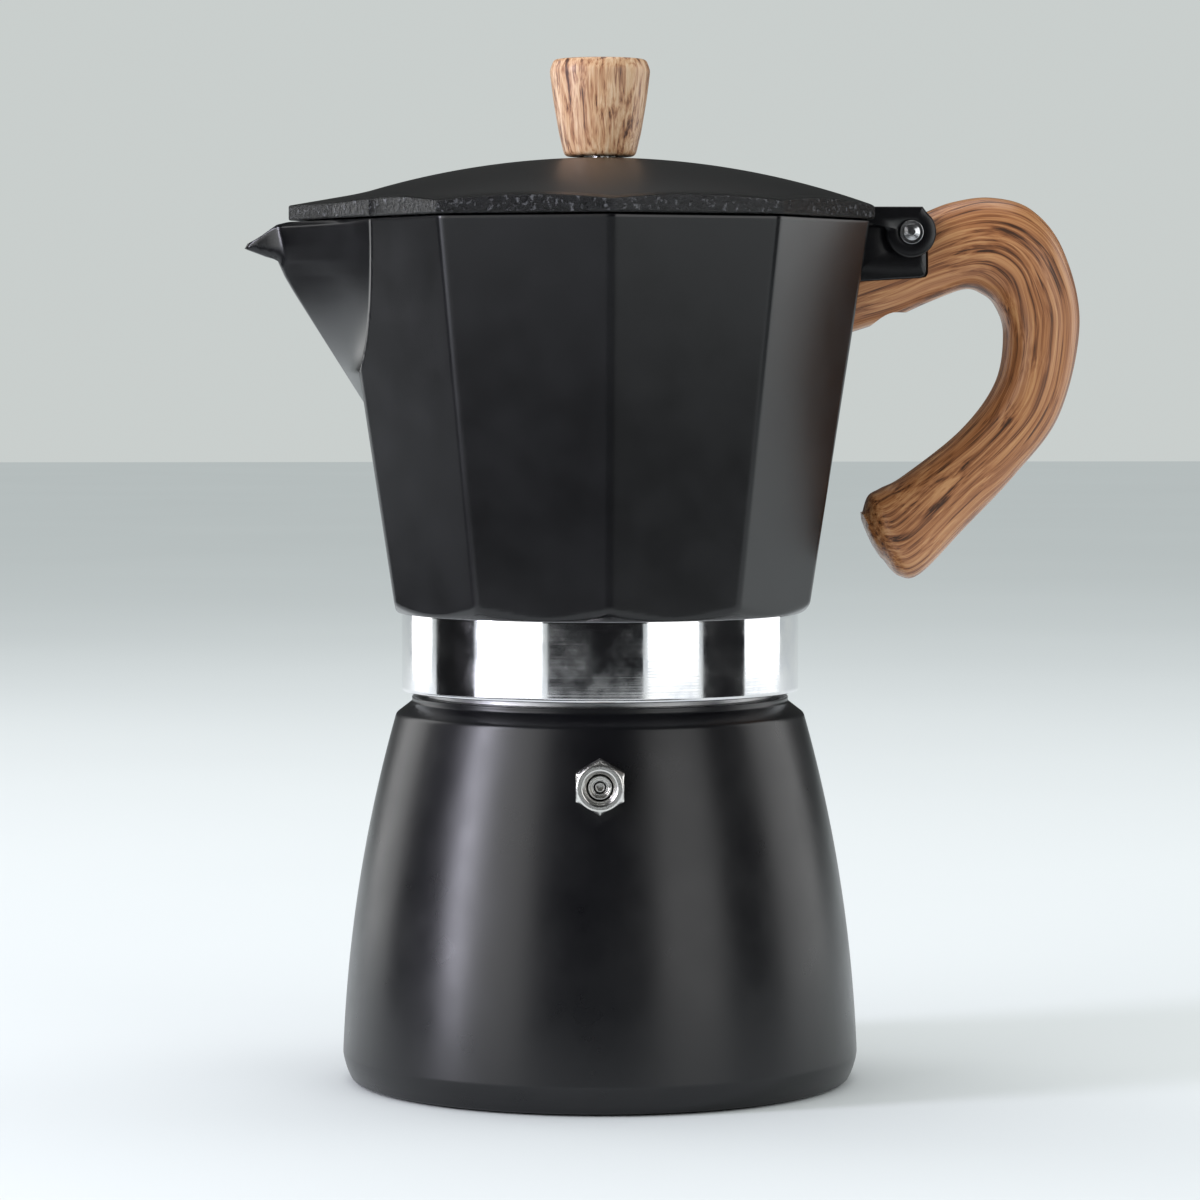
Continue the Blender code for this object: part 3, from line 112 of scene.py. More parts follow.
def eased(corners, radius, ring=True):
    """Each corner C becomes the quadratic curve from A to B through its pull, with A and B a radius
    away along its two sides, or three tenths of a side if that is less."""
    corners = np.asarray(corners, float)
    before, after = np.roll(corners, 1, axis=0), np.roll(corners, -1, axis=0)
    lengths = [np.linalg.norm(other - corners, axis=1, keepdims=True) for other in (before, after)]
    reach = np.minimum(radius, 0.3 * np.minimum(*lengths))
    a = corners + (before - corners) / lengths[0] * reach
    b = corners + (after - corners) / lengths[1] * reach
    s = np.linspace(0, 1, 6)[None, :, None]
    curve = (1 - s) ** 2 * a[:, None] + 2 * s * (1 - s) * corners[:, None] + s**2 * b[:, None]
    lead = corners + 1.5 * (a - corners), corners + 1.5 * (b - corners)
    points = np.concatenate([lead[0][:, None], curve, lead[1][:, None]], axis=1)
    if ring:
        return points.reshape(-1, 2)
    return np.concatenate([corners[:1], points[1:-1].reshape(-1, 2), corners[-1:]])


def polar(distance, angle, height):
    """Points at a distance and an angle round an axis, and a height along it."""
    parts = distance * np.cos(angle), distance * np.sin(angle), height
    return np.stack(np.broadcast_arrays(*parts), axis=-1)


UPRIGHT = np.array([[0, 0, 0], [1, 0, 0], [0, 1, 0], [0, 0, 1]], float)


def turned(name, profile, radius=0.3 * MM, sides=128, ring=True, place=UPRIGHT):
    """Each profile point (distance, height) goes round the axis at x = distance cos(turn) and
    y = distance sin(turn). place is the axis' origin and the directions of its x, y and height."""
    profile = eased(profile, radius, ring)
    turn = np.linspace(0, 2 * np.pi, sides, endpoint=False)
    local = polar(profile[:, :1], turn, profile[:, 1:])
    return grid_piece(name, place[0] + local @ place[1:], along=ring)


def bowed(first, last, bow, count=40):
    """Points from first to last on a shallow curve that stands bow outwards at its middle."""
    first, last = np.asarray(first, float), np.asarray(last, float)
    side = np.array([last[1] - first[1], first[0] - last[0]])
    s = np.linspace(0, 1, count)[:, None]
    return first + s * (last - first) + 4 * bow * s * (1 - s) * side / np.linalg.norm(side)


# %% [markdown]
# Finishes are procedural and scaled in millimetres. One function turns a hex colour to linear
# light, one gives how many pattern cells of a real size fit in a metre, and one adds a node.

# %% Colours and nodes


def colour(code, alpha=1.0):
    """sRGB hex to linear: c / 12.92 for the darkest, and ((c + 0.055) / 1.055) ^ 2.4 above them."""
    srgb = [int(code[i:i + 2], 16) / 255 for i in (0, 2, 4)]
    return (*(c / 12.92 if c <= 0.04045 else ((c + 0.055) / 1.055) ** 2.4 for c in srgb), alpha)


def cells(millimetres):
    return 1000 / millimetres


def node(tree, kind, inputs=None, **settings):
    """Adds a node. inputs maps a socket to a value or to another node's output."""
    made = tree.nodes.new("ShaderNode" + kind)
    for stop, (place, code) in enumerate(settings.pop("stops", ())):
        elements = made.color_ramp.elements
        element = elements[stop] if stop < 2 else elements.new(place)
        element.position, element.color = place, colour(code)
    for key, value in settings.items():
        setattr(made, key, value)
    for key, value in (inputs or {}).items():
        if isinstance(value, bpy.types.NodeSocket):
            tree.links.new(value, made.inputs[key])
        else:
            made.inputs[key].default_value = value
    return made


def in_place(tree):
    return node(tree, "TexCoord").outputs["Object"]


def noise(tree, where, millimetres, detail, **more):
    """Noise with cells of a real size."""
    inputs = {"Vector": where, "Scale": cells(millimetres), "Detail": detail, **more}
    return node(tree, "TexNoise", inputs).outputs["Fac"]


def start(name, **values):
    """A material with constants on the shader's own sockets. Returns it, its tree and shader."""
    made = bpy.data.materials.new(name)
    made.use_nodes = True
    shader = made.node_tree.nodes["Principled BSDF"]
    for key, value in values.items():
        shader.inputs[key.replace("_", " ")].default_value = value
    return made, made.node_tree, shader


def plug(tree, shader, tint, gloss, bump):
    """Wires a finish's colour, roughness and bump into its shader."""
    tree.links.new(tint.outputs["Color"], shader.inputs["Base Color"])
    tree.links.new(gloss.outputs["Result"], shader.inputs["Roughness"])
    tree.links.new(bump.outputs["Normal"], shader.inputs["Normal"])


def coat(tree, shader, cloud, stops, gloss, relief, strength, depth):
    """Colour and roughness follow a cloud, and the relief makes the bumps. gloss is a range of the
    cloud and the roughness at its two ends, and depth is in millimetres."""
    tint = node(tree, "ValToRGB", {"Fac": cloud}, stops=stops)
    ends = dict(zip(("From Min", "From Max", "To Min", "To Max"), gloss))
    rough = node(tree, "MapRange", {"Value": cloud, **ends})
    bump = node(tree, "Bump", {"Height": relief, "Strength": strength, "Distance": depth * MM})
    plug(tree, shader, tint, rough, bump)


def dress(piece, finish, body, slot, *nodes):
    """Puts a finish on a piece and says which body it rides on and which solids it stands for."""
    piece.data.materials.clear()
    piece.data.materials.append(finish)
    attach(piece, body)
    if nodes:
        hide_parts(*nodes)
    print(piece.name, len(piece.data.polygons), "faces on", body)
    return piece


# %% [markdown]
# The black of the pot is a heat-proof enamel, sprayed on a blasted casting and baked. The eye sees
# a very dark, slightly cool grey with a wide soft highlight, broken up by the spray's fine orange
# peel, about half a millimetre from bump to bump. The boiler is satin, the chamber smoother, and
# the lid's smooth dome stands over a rim that still shows the pits of its mould.

# %% Black enamels


def enamel(name, code, low, high, peel, depth):
    """Sprayed enamel: roughness wanders between low and high, over a peel of bumps."""
    made, tree, shader = start(name, IOR=1.5, Specular_IOR_Level=0.5)
    where = in_place(tree)
    coat(tree, shader, noise(tree, where, 9, 4.0), [(0.3, code), (0.75, "0f0f12")],
         (0.3, 0.7, low, high), noise(tree, where, peel, 2.0), 0.35, depth)
    return made


satin_enamel = enamel("satin_sprayed_enamel_on_cast_aluminium", "09090d", 0.27, 0.33, 0.45, 0.010)
smooth_enamel = enamel("smooth_sprayed_enamel_on_cast_aluminium", "08080a", 0.23, 0.27, 0.6, 0.004)


def lid_enamel():
    """Glossy enamel over a dome, and over a rim with mould pits about a millimetre apart. The map
    named rim says where the pits are. The tops between them are painted paler, a painted
    highlight standing in for the glints of the rough casting."""
    made, tree, shader = start("glossy_enamel_on_rough_cast_lid", IOR=1.5)
    rim = node(tree, "UVMap", uv_map="rim").outputs["UV"]
    rough = node(tree, "SeparateXYZ", {"Vector": rim}).outputs["X"]
    pits = noise(tree, in_place(tree), 1.1, 4.0, Roughness=0.65)
    tops = node(tree, "Math", {0: pits, 1: rough}, operation="MULTIPLY")
    bump = node(tree, "Bump", {"Height": tops.outputs["Value"], "Strength": 1.0,
                               "Distance": 1.6 * MM})
    gloss = node(tree, "MapRange", {"Value": rough, "To Min": 0.36, "To Max": 0.24})
    # Painted highlight: the tops between the pits are painted paler, as the glints of the casting.
    tint = node(tree, "ValToRGB", {"Fac": tops.outputs["Value"]},
                stops=[(0.56, "070708"), (0.66, "5c5c60")])
    plug(tree, shader, tint, gloss, bump)
    return made


rough_lid_enamel = lid_enamel()

# %% [markdown]
# Bare metals come in two kinds here. Turned and spun ones carry fine rings from the tool, so their
# bumps are stretched round the axis: the pattern is tight in height and nearly constant round it.
# Cast, blasted or plated ones have an even fine grain. All keep the default IOR of a metal.

# %% Bare metals


def ringed_metal(name, code, low, high, ring, depth):
    """Turned metal: rings of a real spacing, from noise whose height is scaled far more than its
    sides, and a low cloud of wear that moves the roughness between low and high."""
    made, tree, shader = start(name, Metallic=1.0)
    where = in_place(tree)
    tall = node(tree, "Mapping", {"Vector": where, "Scale": (18, 18, cells(ring))})
    rings = node(tree, "TexNoise", {"Vector": tall.outputs["Vector"], "Scale": 1.0, "Detail": 3.0})
    cloud = noise(tree, where, 6, 5.0, Roughness=0.65)
    coat(tree, shader, cloud, [(0.25, code), (0.8, "f4f2f0")], (0.35, 0.7, low, high),
         rings.outputs["Fac"], 0.5, depth)
    return made


def grained_metal(name, code, low, high, grain, depth):
    """Cast, blasted or plated metal: an even grain of a real size."""
    made, tree, shader = start(name, Metallic=1.0)
    where = in_place(tree)
    coat(tree, shader, noise(tree, where, 5, 3.0), [(0.3, code), (0.9, "efeeec")],
         (0.35, 0.7, low, high), noise(tree, where, grain, 4.0), 0.4, depth)
    return made


polished_collar = ringed_metal("turned_and_polished_aluminium", "dddde2", 0.05, 0.13, 0.5, 0.006)
spun_aluminium = ringed_metal("spun_aluminium_sheet", "c9cacd", 0.22, 0.34, 0.35, 0.02)
blasted_aluminium = grained_metal("blasted_die_cast_aluminium", "b9babd", 0.34, 0.46, 0.35, 0.05)
punched_steel = grained_metal("punched_stainless_steel_sheet", "c4c3c1", 0.20, 0.30, 0.25, 0.01)
nickel_plate = grained_metal("bright_nickel_plated_brass", "dcdad5", 0.20, 0.32, 0.4, 0.008)
zinc_plate = grained_metal("zinc_plated_steel", "b4b6ba", 0.16, 0.28, 0.3, 0.012)
turned_brass = grained_metal("turned_brass", "b28b45", 0.18, 0.30, 0.3, 0.012)
spring_wire = grained_metal("drawn_stainless_spring_wire", "a9a8a6", 0.20, 0.30, 0.15, 0.006)

# %% [markdown]
# The gasket is moulded silicone rubber: off-white, dull, and a little see-through at its edges, so
# some light scatters under its skin. Its surface has the fine matt of an etched mould.

# %% Silicone
ivory_silicone, tree, shader = start("moulded_ivory_silicone", IOR=1.41,
                                     Subsurface_Weight=0.25, Subsurface_Scale=1.5 * MM)
where = in_place(tree)
coat(tree, shader, noise(tree, where, 7, 2.0), [(0.3, "ddd8cb"), (0.7, "ebe7dc")],
     (0, 1, 0.5, 0.68), noise(tree, where, 0.25, 3.0), 0.3, 0.02)

# %% [markdown]
# The grips are phenolic mouldings with a wood-grain film laid on in a water bath, under a satin
# lacquer. The eye sees brown wood with dark, slightly raised veins along the grip that wander and
# swirl, as the film stretched. So the pattern is a noise that is narrow across the grain and long
# along it, bent first by a slow noise, and the veins also lift the surface.

# %% Wood-grain film


def wood_film(name, where_of, across, length, wander, tones, low, high):
    """Veins `across` mm wide and `length` mm long, pushed sideways by up to `wander` mm. tones go
    from vein to light wood. where_of gives coordinates whose third axis runs along the grain."""
    made, tree, shader = start(name, IOR=1.5, Coat_Weight=0.25, Coat_Roughness=0.22)
    where = where_of(tree)
    squeeze = node(tree, "Mapping", {"Vector": where, "Scale": (1, 1, 0.45)})
    slow = node(tree, "TexNoise", {"Vector": squeeze.outputs["Vector"], "Scale": cells(11),
                                   "Detail": 1.5})
    push = node(tree, "VectorMath", {0: slow.outputs["Color"], 1: (0.5, 0.5, 0.5)},
                operation="SUBTRACT")
    push = node(tree, "VectorMath", {0: push.outputs["Vector"], "Scale": 2 * wander * MM},
                operation="SCALE")
    bent = node(tree, "VectorMath", {0: where, 1: push.outputs["Vector"]}, operation="ADD")
    veined = node(tree, "Mapping", {"Vector": bent.outputs["Vector"],
                                    "Scale": (cells(across), cells(across), cells(length))})
    veins = node(tree, "TexNoise", {"Vector": veined.outputs["Vector"], "Scale": 1.0, "Detail": 4.0,
                                    "Roughness": 0.62, "Distortion": 0.35})
    fine = node(tree, "TexNoise", {"Vector": veined.outputs["Vector"], "Scale": 3.7, "Detail": 2.0})
    both = node(tree, "MapRange", {"Value": fine.outputs["Fac"], "From Min": 0.3, "From Max": 0.7,
                                   "To Min": -0.05, "To Max": 0.05})
    height = node(tree, "Math", {0: veins.outputs["Fac"], 1: both.outputs["Result"]},
                  operation="ADD").outputs["Value"]
    stops = zip((0.34, 0.66, 0.425, 0.52), (tones[0], tones[3], tones[1], tones[2]))
    coat(tree, shader, height, stops, (0.35, 0.65, high, low), height, 0.55, 0.35)
    return made


def straightened(tree):
    """The handle's own coordinates, as if it were straight: across, sideways and along."""
    maps = [node(tree, "UVMap", uv_map=name).outputs["UV"] for name in ("section", "length")]
    section, along = (node(tree, "SeparateXYZ", {"Vector": held}).outputs for held in maps)
    joined = node(tree, "CombineXYZ", {"X": section["X"], "Y": section["Y"], "Z": along["X"]})
    return joined.outputs["Vector"]


handle_wood = wood_film("wood_grain_film_on_phenolic", straightened, 0.95, 70, 1.9,
                        ("43250f", "87512b", "a76f44", "c08d5f"), 0.30, 0.48)
knob_wood = wood_film("pale_wood_grain_film_on_phenolic", in_place, 0.9, 17, 2.6,
                      ("52301f", "a87552", "cda27c", "dfbf9d"), 0.30, 0.46)
print("finishes:", len(bpy.data.materials))

# %% [markdown]
# The boiler is a casting as round as a turned piece: a wall that leans in and bows out a little, a
# rounded shoulder, a step, and the neck that carries the thread. It could be a modifier on a line,
# but as a grid its paint can end exactly at the neck, where the metal stays bare so that the thread
# runs.

# %% Boiler
WIDE, SHOULDER, NECK_FLOOR, NECK_TOP = 50.45 * MM, 39.9 * MM, 75.4 * MM, 87.0 * MM
NECK, BARE_FROM = 34.0 * MM, 3.0 * MM
painted = np.concatenate([
    [(0.0, 0.0), (47.2 * MM, 0.0), (47.6 * MM, 0.4 * MM), (48.7 * MM, 0.5 * MM)],
    bowed((49.3 * MM, 1.6 * MM), (WIDE, 5.6 * MM), 0.15 * MM, 5),
    bowed((WIDE, 5.6 * MM), (SHOULDER, 72.0 * MM), 2.0 * MM)[1:],
    [(36.8 * MM, 74.4 * MM), (36.8 * MM, NECK_FLOOR), (34.2 * MM, NECK_FLOOR)],
])
inner_wall = bowed((36.9 * MM, 68.5 * MM), (47.35 * MM, 6.6 * MM), -2.0 * MM)
bare = np.concatenate([
    [(33.9 * MM, NECK_FLOOR), (33.9 * MM, NECK_TOP), (30.6 * MM, NECK_TOP), (30.6 * MM, 70.5 * MM)],
    inner_wall,
    [(44.4 * MM, 3.6 * MM), (0.0, 3.6 * MM)],
])
boiler = turned("boiler_casting", np.concatenate([painted, bare]), 0.5 * MM, 192, ring=False)
dress(boiler, satin_enamel, "boiler", "black_paint", "boiler")
boiler.data.materials.append(blasted_aluminium)
centres = np.empty(len(boiler.data.polygons) * 3)
boiler.data.polygons.foreach_get("center", centres)
facing = np.empty(len(boiler.data.polygons) * 3)
boiler.data.polygons.foreach_get("normal", facing)
centres, facing = centres.reshape(-1, 3), facing.reshape(-1, 3)
out = np.hypot(centres[:, 0], centres[:, 1])
outward = (facing[:, :2] * centres[:, :2]).sum(axis=1)
inside = ((outward < 0) | (out < NECK)) & (centres[:, 2] > BARE_FROM)
boiler.data.polygons.foreach_set("material_index", inside.astype(np.int32))
print("bare faces inside and on the neck:", int(inside.sum()))

# %% [markdown]
# The screw thread is a ridge wound round the neck, fading out at both ends. The same function winds
# the collar's thread inside the chamber, with root and crest the other way round.

# %% Threads


def wound_ridge(name, root, crest, first_angle, first_height, turns, pitch=3 * MM, per_turn=120):
    """Cross-sections of a blunt ridge, carried round the axis and up a pitch each turn. Its height
    grows from nothing and back over a tenth of a turn, and its end rows shrink to a point."""
    t = (np.arange(int(turns * per_turn) + 1) / per_turn)[:, None]
    level = 0 * t
    grow = np.clip(np.minimum(t, turns - t) * 10, 0, 1)
    sunk = root + math.copysign(0.4 * MM, root - crest)
    top = root + (crest - root) * grow
    base, blunt = 0.30 * pitch, 0.11 * pitch
    half = base + (blunt - base) * grow
    distance = np.hstack([level + sunk, level + root, top, top, level + root, level + sunk])
    up = np.hstack([level - base, level - base, -half, half, level + base, level + base])
    for end in (0, -1):
        distance[end], up[end] = distance[end].mean(), up[end].mean()
    angle = first_angle + 2 * np.pi * t
    return grid_piece(name, polar(distance, angle, first_height + pitch * t + up))


neck_thread = wound_ridge("neck_thread", 33.9 * MM, 35.3 * MM, 0.0, 79.3 * MM, 2.0)
dress(neck_thread, blasted_aluminium, "boiler", "bare_aluminium")

# %% [markdown]
# The safety valve screws into a pad on the boiler's wall. Its body is a hexagon with a turned
# chamfer and a deep conical recess, and in it a spring holds a plunger against the steam. The
# hexagon is a turned profile whose distance from the axis is also held inside six flats.

# %% Safety valve
TURN, OUT = math.radians(-2.4), 44.138 * MM
valve_at = np.array([OUT * math.sin(TURN), -OUT * math.cos(TURN), 61.6 * MM])
VALVE = np.array([valve_at, [math.cos(TURN), math.sin(TURN), 0], [0, 0, 1],
                  [math.sin(TURN), -math.cos(TURN), 0]])


def hexagonal(name, profile, flats, place):
    """A turned profile held inside a hexagon: distance = min(profile, flats / 2 / cos(angle from
    the nearest flat's middle)), with its flats above and below."""
    profile = eased(profile, 0.2 * MM)
    turn = np.linspace(0, 2 * np.pi, 240, endpoint=False)
    from_flat = (turn - np.pi / 6) % (np.pi / 3) - np.pi / 6
    limit = flats / 2 / np.cos(from_flat)
    local = polar(np.minimum(profile[:, :1], limit), turn, profile[:, 1:])
    return grid_piece(name, place[0] + local @ place[1:], along=True)


hex_profile = np.array([
    (1.2, -7.5), (3.0, -7.5), (3.4, -7.1), (3.4, 1.35), (5.3, 1.4), (5.3, 5.05), (4.2, 5.9),
    (3.35, 5.9), (2.75, 5.3), (2.5, 4.9), (2.5, -5.9), (1.8, -5.95), (1.2, -6.5),
]) * MM
valve_body = hexagonal("valve_hexagon", hex_profile, 9.0 * MM, VALVE)
dress(valve_body, nickel_plate, "boiler", "steel", "valve_body")
pad = turned("valve_pad", np.array([(3.7, -4.4), (4.4, -4.4), (4.4, 0), (3.7, 0)]) * MM, 0.25 * MM,
             96, place=VALVE)
dress(pad, satin_enamel, "boiler", "black_paint")
washer = turned("valve_sealing_ring", np.array([
    (3.7, 0.3), (4.4, 0.3), (4.4, 1.1), (3.7, 1.1)]) * MM, 0.2 * MM, 96, place=VALVE)
dress(washer, ivory_silicone, "boiler", "silicone", "valve_washer")
retainer = turned("valve_retainer_ring", np.array([
    (1.2, 3.6), (2.2, 3.6), (2.2, 4.9), (1.9, 4.9), (1.6, 4.4), (1.2, 4.4)]) * MM, 0.15 * MM, 96,
    place=VALVE)
dress(retainer, nickel_plate, "boiler", "steel", "valve_retainer")
plunger = turned("valve_stem", np.array([
    (0, -6.2), (0.95, -6.2), (1.7, -5.6), (1.9, -5.6), (1.9, -4.2), (0.9, -4.2), (0.9, 4.1),
    (0.6, 4.1), (0.55, 1.0), (0, 1.0)]) * MM, 0.12 * MM, 64, ring=False, place=VALVE)
dress(plunger, nickel_plate, "plunger", "brass", "valve_plunger")

# %% [markdown]
# The spring is a wire wound round the stem. On the real valve its inner end moves with the
# plunger and its outer end stays on the retainer, so it flattens when the valve lifts; here it is
# a fixed coil that rides on the boiler.

# %% Valve spring
SPRING_LOW, SPRING_HIGH, WIRE, COIL, TURNS = -3.7 * MM, 3.1 * MM, 0.2 * MM, 1.7 * MM, 5
t = np.linspace(0, 1, 241)[:, None]
ring = np.linspace(0, 2 * np.pi, 12, endpoint=False)[None, :]
thick = WIRE * np.clip(np.minimum(t, 1 - t) * 400, 0, 1)
wind = 2 * np.pi * TURNS * t
distance = COIL + thick * np.cos(ring)
height = SPRING_LOW + (SPRING_HIGH - SPRING_LOW) * t + thick * np.sin(ring)
spring = grid_piece("valve_coil_spring", VALVE[0] + polar(distance, wind, height) @ VALVE[1:])
dress(spring, spring_wire, "boiler", "steel", "valve_spring")
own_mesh(spring)

# %% [markdown]
# Inside stand the coffee funnel, spun from sheet with a long tube, and above it the gasket and the
# filter plate. All are turned. The two perforated plates are already right in the solid model, so
# they stay and only get their finish.

# %% Funnel, gasket and plates
funnel = turned("coffee_funnel_shell", np.array([
    (33.4, 88.5), (33.4, 87.3), (30.0, 87.3), (30.0, 66.0), (28.5, 64.5), (4.4, 50.5), (4.4, 9.0),
    (3.6, 9.0), (3.6, 51.0), (27.9, 65.3), (29.2, 66.6), (29.2, 88.5)]) * MM, 0.6 * MM, 160)
dress(funnel, spun_aluminium, "coffee_funnel", "bare_aluminium", "funnel")
gasket = turned("gasket_ring", np.array([
    (26.9, 88.8), (32.6, 88.8), (32.6, 91.8), (26.9, 91.8)]) * MM, 0.5 * MM, 160)
dress(gasket, ivory_silicone, "seal", "silicone", "gasket")
for name, finish in (("funnel_sieve", spun_aluminium), ("filter_plate", punched_steel),
                     ("knob_screw", zinc_plate), ("knob_washer", zinc_plate),
                     ("handle_screw", zinc_plate), ("handle_washer", zinc_plate),
                     ("knob_insert", turned_brass)):
    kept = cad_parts[name]
    kept.data.materials.clear()
    kept.data.materials.append(finish)
    print(name, "keeps its solid, in", finish.name)

# %% [markdown]
# The chamber is the hard surface: ten flat sides that widen upwards, a turned corner below them,
# and a spout pulled out of one side. A stack of separate shapes would show its joins, so the whole
# casting is one grid. At each height, the distance from the axis is the largest of three outlines:
# a ten-sided one, the spout's wedge, and the narrow lip. They blend over a millimetre or two, as
# the fillets of a casting do. The columns crowd together at the corners and over the spout.

# %% Outlines of the chamber
FACING = np.pi / 10
RIM, BASE = 167.7 * MM, 91.8 * MM
SPOUT_FOOT, TROUGH_FOOT, LIP_FOOT, GROOVE_FOOT = 132.5 * MM, 135.1 * MM, 159.6 * MM, 161.4 * MM
WALL, LIP_ROOT, TURNED = 2.6 * MM, 56.5 * MM, 3.9 * MM
BASE_RADIUS, RIM_RADIUS = 41.95 * MM, 53.8 * MM
near_corner = np.radians([-1.75, -1.4, -1.1, -0.7, -0.35, 0, 0.35, 0.7, 1.1, 1.4, 1.75])
corner_columns = (FACING * (2 * np.arange(10)[:, None] + 1) + near_corner).ravel()
flat_columns = (2 * FACING * np.arange(10)[:, None] + np.radians(np.linspace(-15, 15, 9))).ravel()
spout_columns = np.pi + np.radians(np.linspace(-37, 37, 211))
columns = np.concatenate([corner_columns, flat_columns, spout_columns]) % (2 * np.pi)
columns = np.unique(np.round(columns, 5))
from_spout = np.abs((columns - np.pi + np.pi) % (2 * np.pi) - np.pi)
print("columns:", len(columns))


def circle_edge(off, centre, radius):
    """Distance to the far edge of a circle whose centre lies at a distance, at an angle off it."""
    chord = np.maximum(radius**2 - (centre * np.sin(off)) ** 2, 0)
    return centre * np.cos(off) + np.sqrt(chord)


def ten_sided(angle, apothem, rounding):
    """A facet is a straight line, apothem / cos(angle from its middle). Near a corner the outline
    is a circle that touches both facets."""
    turn = (angle + FACING) % (2 * FACING) - FACING
    off = FACING - np.abs(turn)
    inner = apothem - rounding
    touch = FACING - np.arctan(inner * math.tan(FACING) / apothem)
    corner = circle_edge(off, inner / math.cos(FACING), rounding)
    return np.where(off < touch, corner, apothem / np.cos(turn))


def wedge(off, nose, root_x, root_y, rounding):
    """A nose of a circle at a distance, and the straight line from it to a root point. The line's
    normal leans by the angle at which the root sees the circle's edge."""
    centre = nose - rounding
    dx = root_x - centre
    reach = np.hypot(dx, root_y)
    lean = np.arctan2(root_y, dx) - np.arccos(np.clip(rounding / np.maximum(reach, 1e-9), -1, 1))
    stand = root_x * np.cos(lean) + root_y * np.sin(lean)
    line = stand / np.maximum(np.cos(off - lean), 0.05)
    touch = np.arctan2(rounding * np.sin(lean), centre + rounding * np.cos(lean))
    line = np.where(off < np.arctan2(root_y, root_x), line, 0)
    return np.where(off < touch, circle_edge(off, centre, rounding), line)


def larger(a, b, blend):
    """The larger of two, with the corner between them eased over blend."""
    h = np.clip(0.5 + 0.5 * (a - b) / blend, 0, 1)
    return a * h + b * (1 - h) + blend * h * (1 - h)


def apothem_at(z):
    corner = BASE_RADIUS + (RIM_RADIUS - BASE_RADIUS) * (z - BASE) / (RIM - BASE)
    return corner * math.cos(FACING)


def root_of(share, apothem, spread):
    """The root of a side of the spout, on the outline of the facets. It spreads from the middle of
    one facet over its corner and onto the next one, whose normal is two facings away."""
    y = spread * share**0.3
    x = np.minimum(apothem, (apothem - y * math.sin(2 * FACING)) / math.cos(2 * FACING))
    return x - 0.15 * MM, y


def millimetre_curve(z, heights, values):
    return np.interp(z, np.array(heights) * MM, np.array(values) * MM)


def outer_distance(angle, off, z):
    """The chamber's outside: facets, wedge of the spout and lip, held inside the turned corner.
    The facets sink behind the spout's sides, so that no corner of theirs shows through."""
    facets = ten_sided(angle, apothem_at(z), 3.1 * MM)
    share = np.clip((z - SPOUT_FOOT) / (RIM - SPOUT_FOOT), 0, 1)
    nose = millimetre_curve(z, [132.5, 154.0, 157.0, 160.0, 163.0, 166.8, 167.7],
                            [46.0, 59.6, 61.35, 62.7, 63.5, 64.1, 60.7])
    round_nose = millimetre_curve(z, [132.5, 150.0, 158.4], [0.4, 1.9, 2.4])
    root_x, root_y = root_of(share, apothem_at(z), 25.9 * MM)
    trunk = np.where(z > SPOUT_FOOT, wedge(off, nose, root_x, root_y, round_nose), 0)
    behind = np.clip((np.arctan2(root_y, root_x) - off) / math.radians(3), 0, 1)
    facets = facets - 3 * MM * behind**2 * (3 - 2 * behind)
    lip_nose = millimetre_curve(z, [159.6, 160.8, 162.5, 163.5, 166.8, 167.7],
                                [58.0, 64.7, 69.2, 68.6, 64.1, 60.7])
    lip_round = millimetre_curve(z, [160.0, 160.8, 162.5, 163.5, 166.8, 167.7],
                                 [2.4, 1.9, 1.25, 1.44, 2.6, 3.2])
    lip = np.where(z > LIP_FOOT, wedge(off, lip_nose, LIP_ROOT, 3.9 * MM, lip_round), 0)
    body = larger(larger(facets, trunk, 0.5 * MM), lip, 2.2 * MM)
    rise = np.clip((z - BASE) / TURNED, 0, 1)
    turned_corner = (39.55 + 3.6 * rise + 2.8 * rise * (1 - rise)) * MM
    corner = np.where(rise < 1, turned_corner, 1.0)
    return -larger(-body, -corner, 0.4 * MM)


def inner_distance(angle, off, z):
    """The hollow: facets a wall further in, the spout's trough, and the groove over the lip."""
    facets = ten_sided(angle, apothem_at(z) - WALL, 2.0 * MM)
    share = np.clip((z - TROUGH_FOOT) / (RIM - TROUGH_FOOT), 0, 1)
    nose = millimetre_curve(z, [135.1, 160.8, 167.7], [41.8, 59.5, 58.9])
    round_nose = millimetre_curve(z, [135.1, 160.8], [0.3, 1.44])
    root_x, root_y = root_of(share, apothem_at(z) - WALL, 23.4 * MM)
    trough = np.where(z > TROUGH_FOOT, wedge(off, nose, root_x, root_y, round_nose), 0)
    groove_nose = millimetre_curve(z, [161.4, 163.6, 167.7], [59.2, 67.6, 67.6])
    groove = wedge(off, groove_nose, LIP_ROOT, 2.6 * MM, 1.44 * MM)
    groove = np.where(z > GROOVE_FOOT, groove, 0)
    return larger(larger(facets, trough, 0.5 * MM), groove, 0.5 * MM)


# %% [markdown]
# The rim is level, but it drops into the lip, where the groove for the coffee comes out. So for
# each column the rim is the greatest height at which the wall still has 0.9 mm of metal.

# %% Height of the rim over each column
LEAST_METAL = 0.9 * MM
fine_z = np.linspace(155 * MM, RIM, 600)[:, None]
metal = outer_distance(columns, from_spout, fine_z) - inner_distance(columns, from_spout, fine_z)
whole = np.logical_and.accumulate(metal > LEAST_METAL, axis=0)
rim_z = fine_z[whole.sum(axis=0) - 1, 0]
kernel = np.array([1, 2, 3, 2, 1]) / 9
padded = np.concatenate([rim_z[-2:], rim_z, rim_z[:2]])
rim_z = np.convolve(padded, kernel, "valid")
print("rim falls to %.1f mm at the lip" % (rim_z.min() / MM))

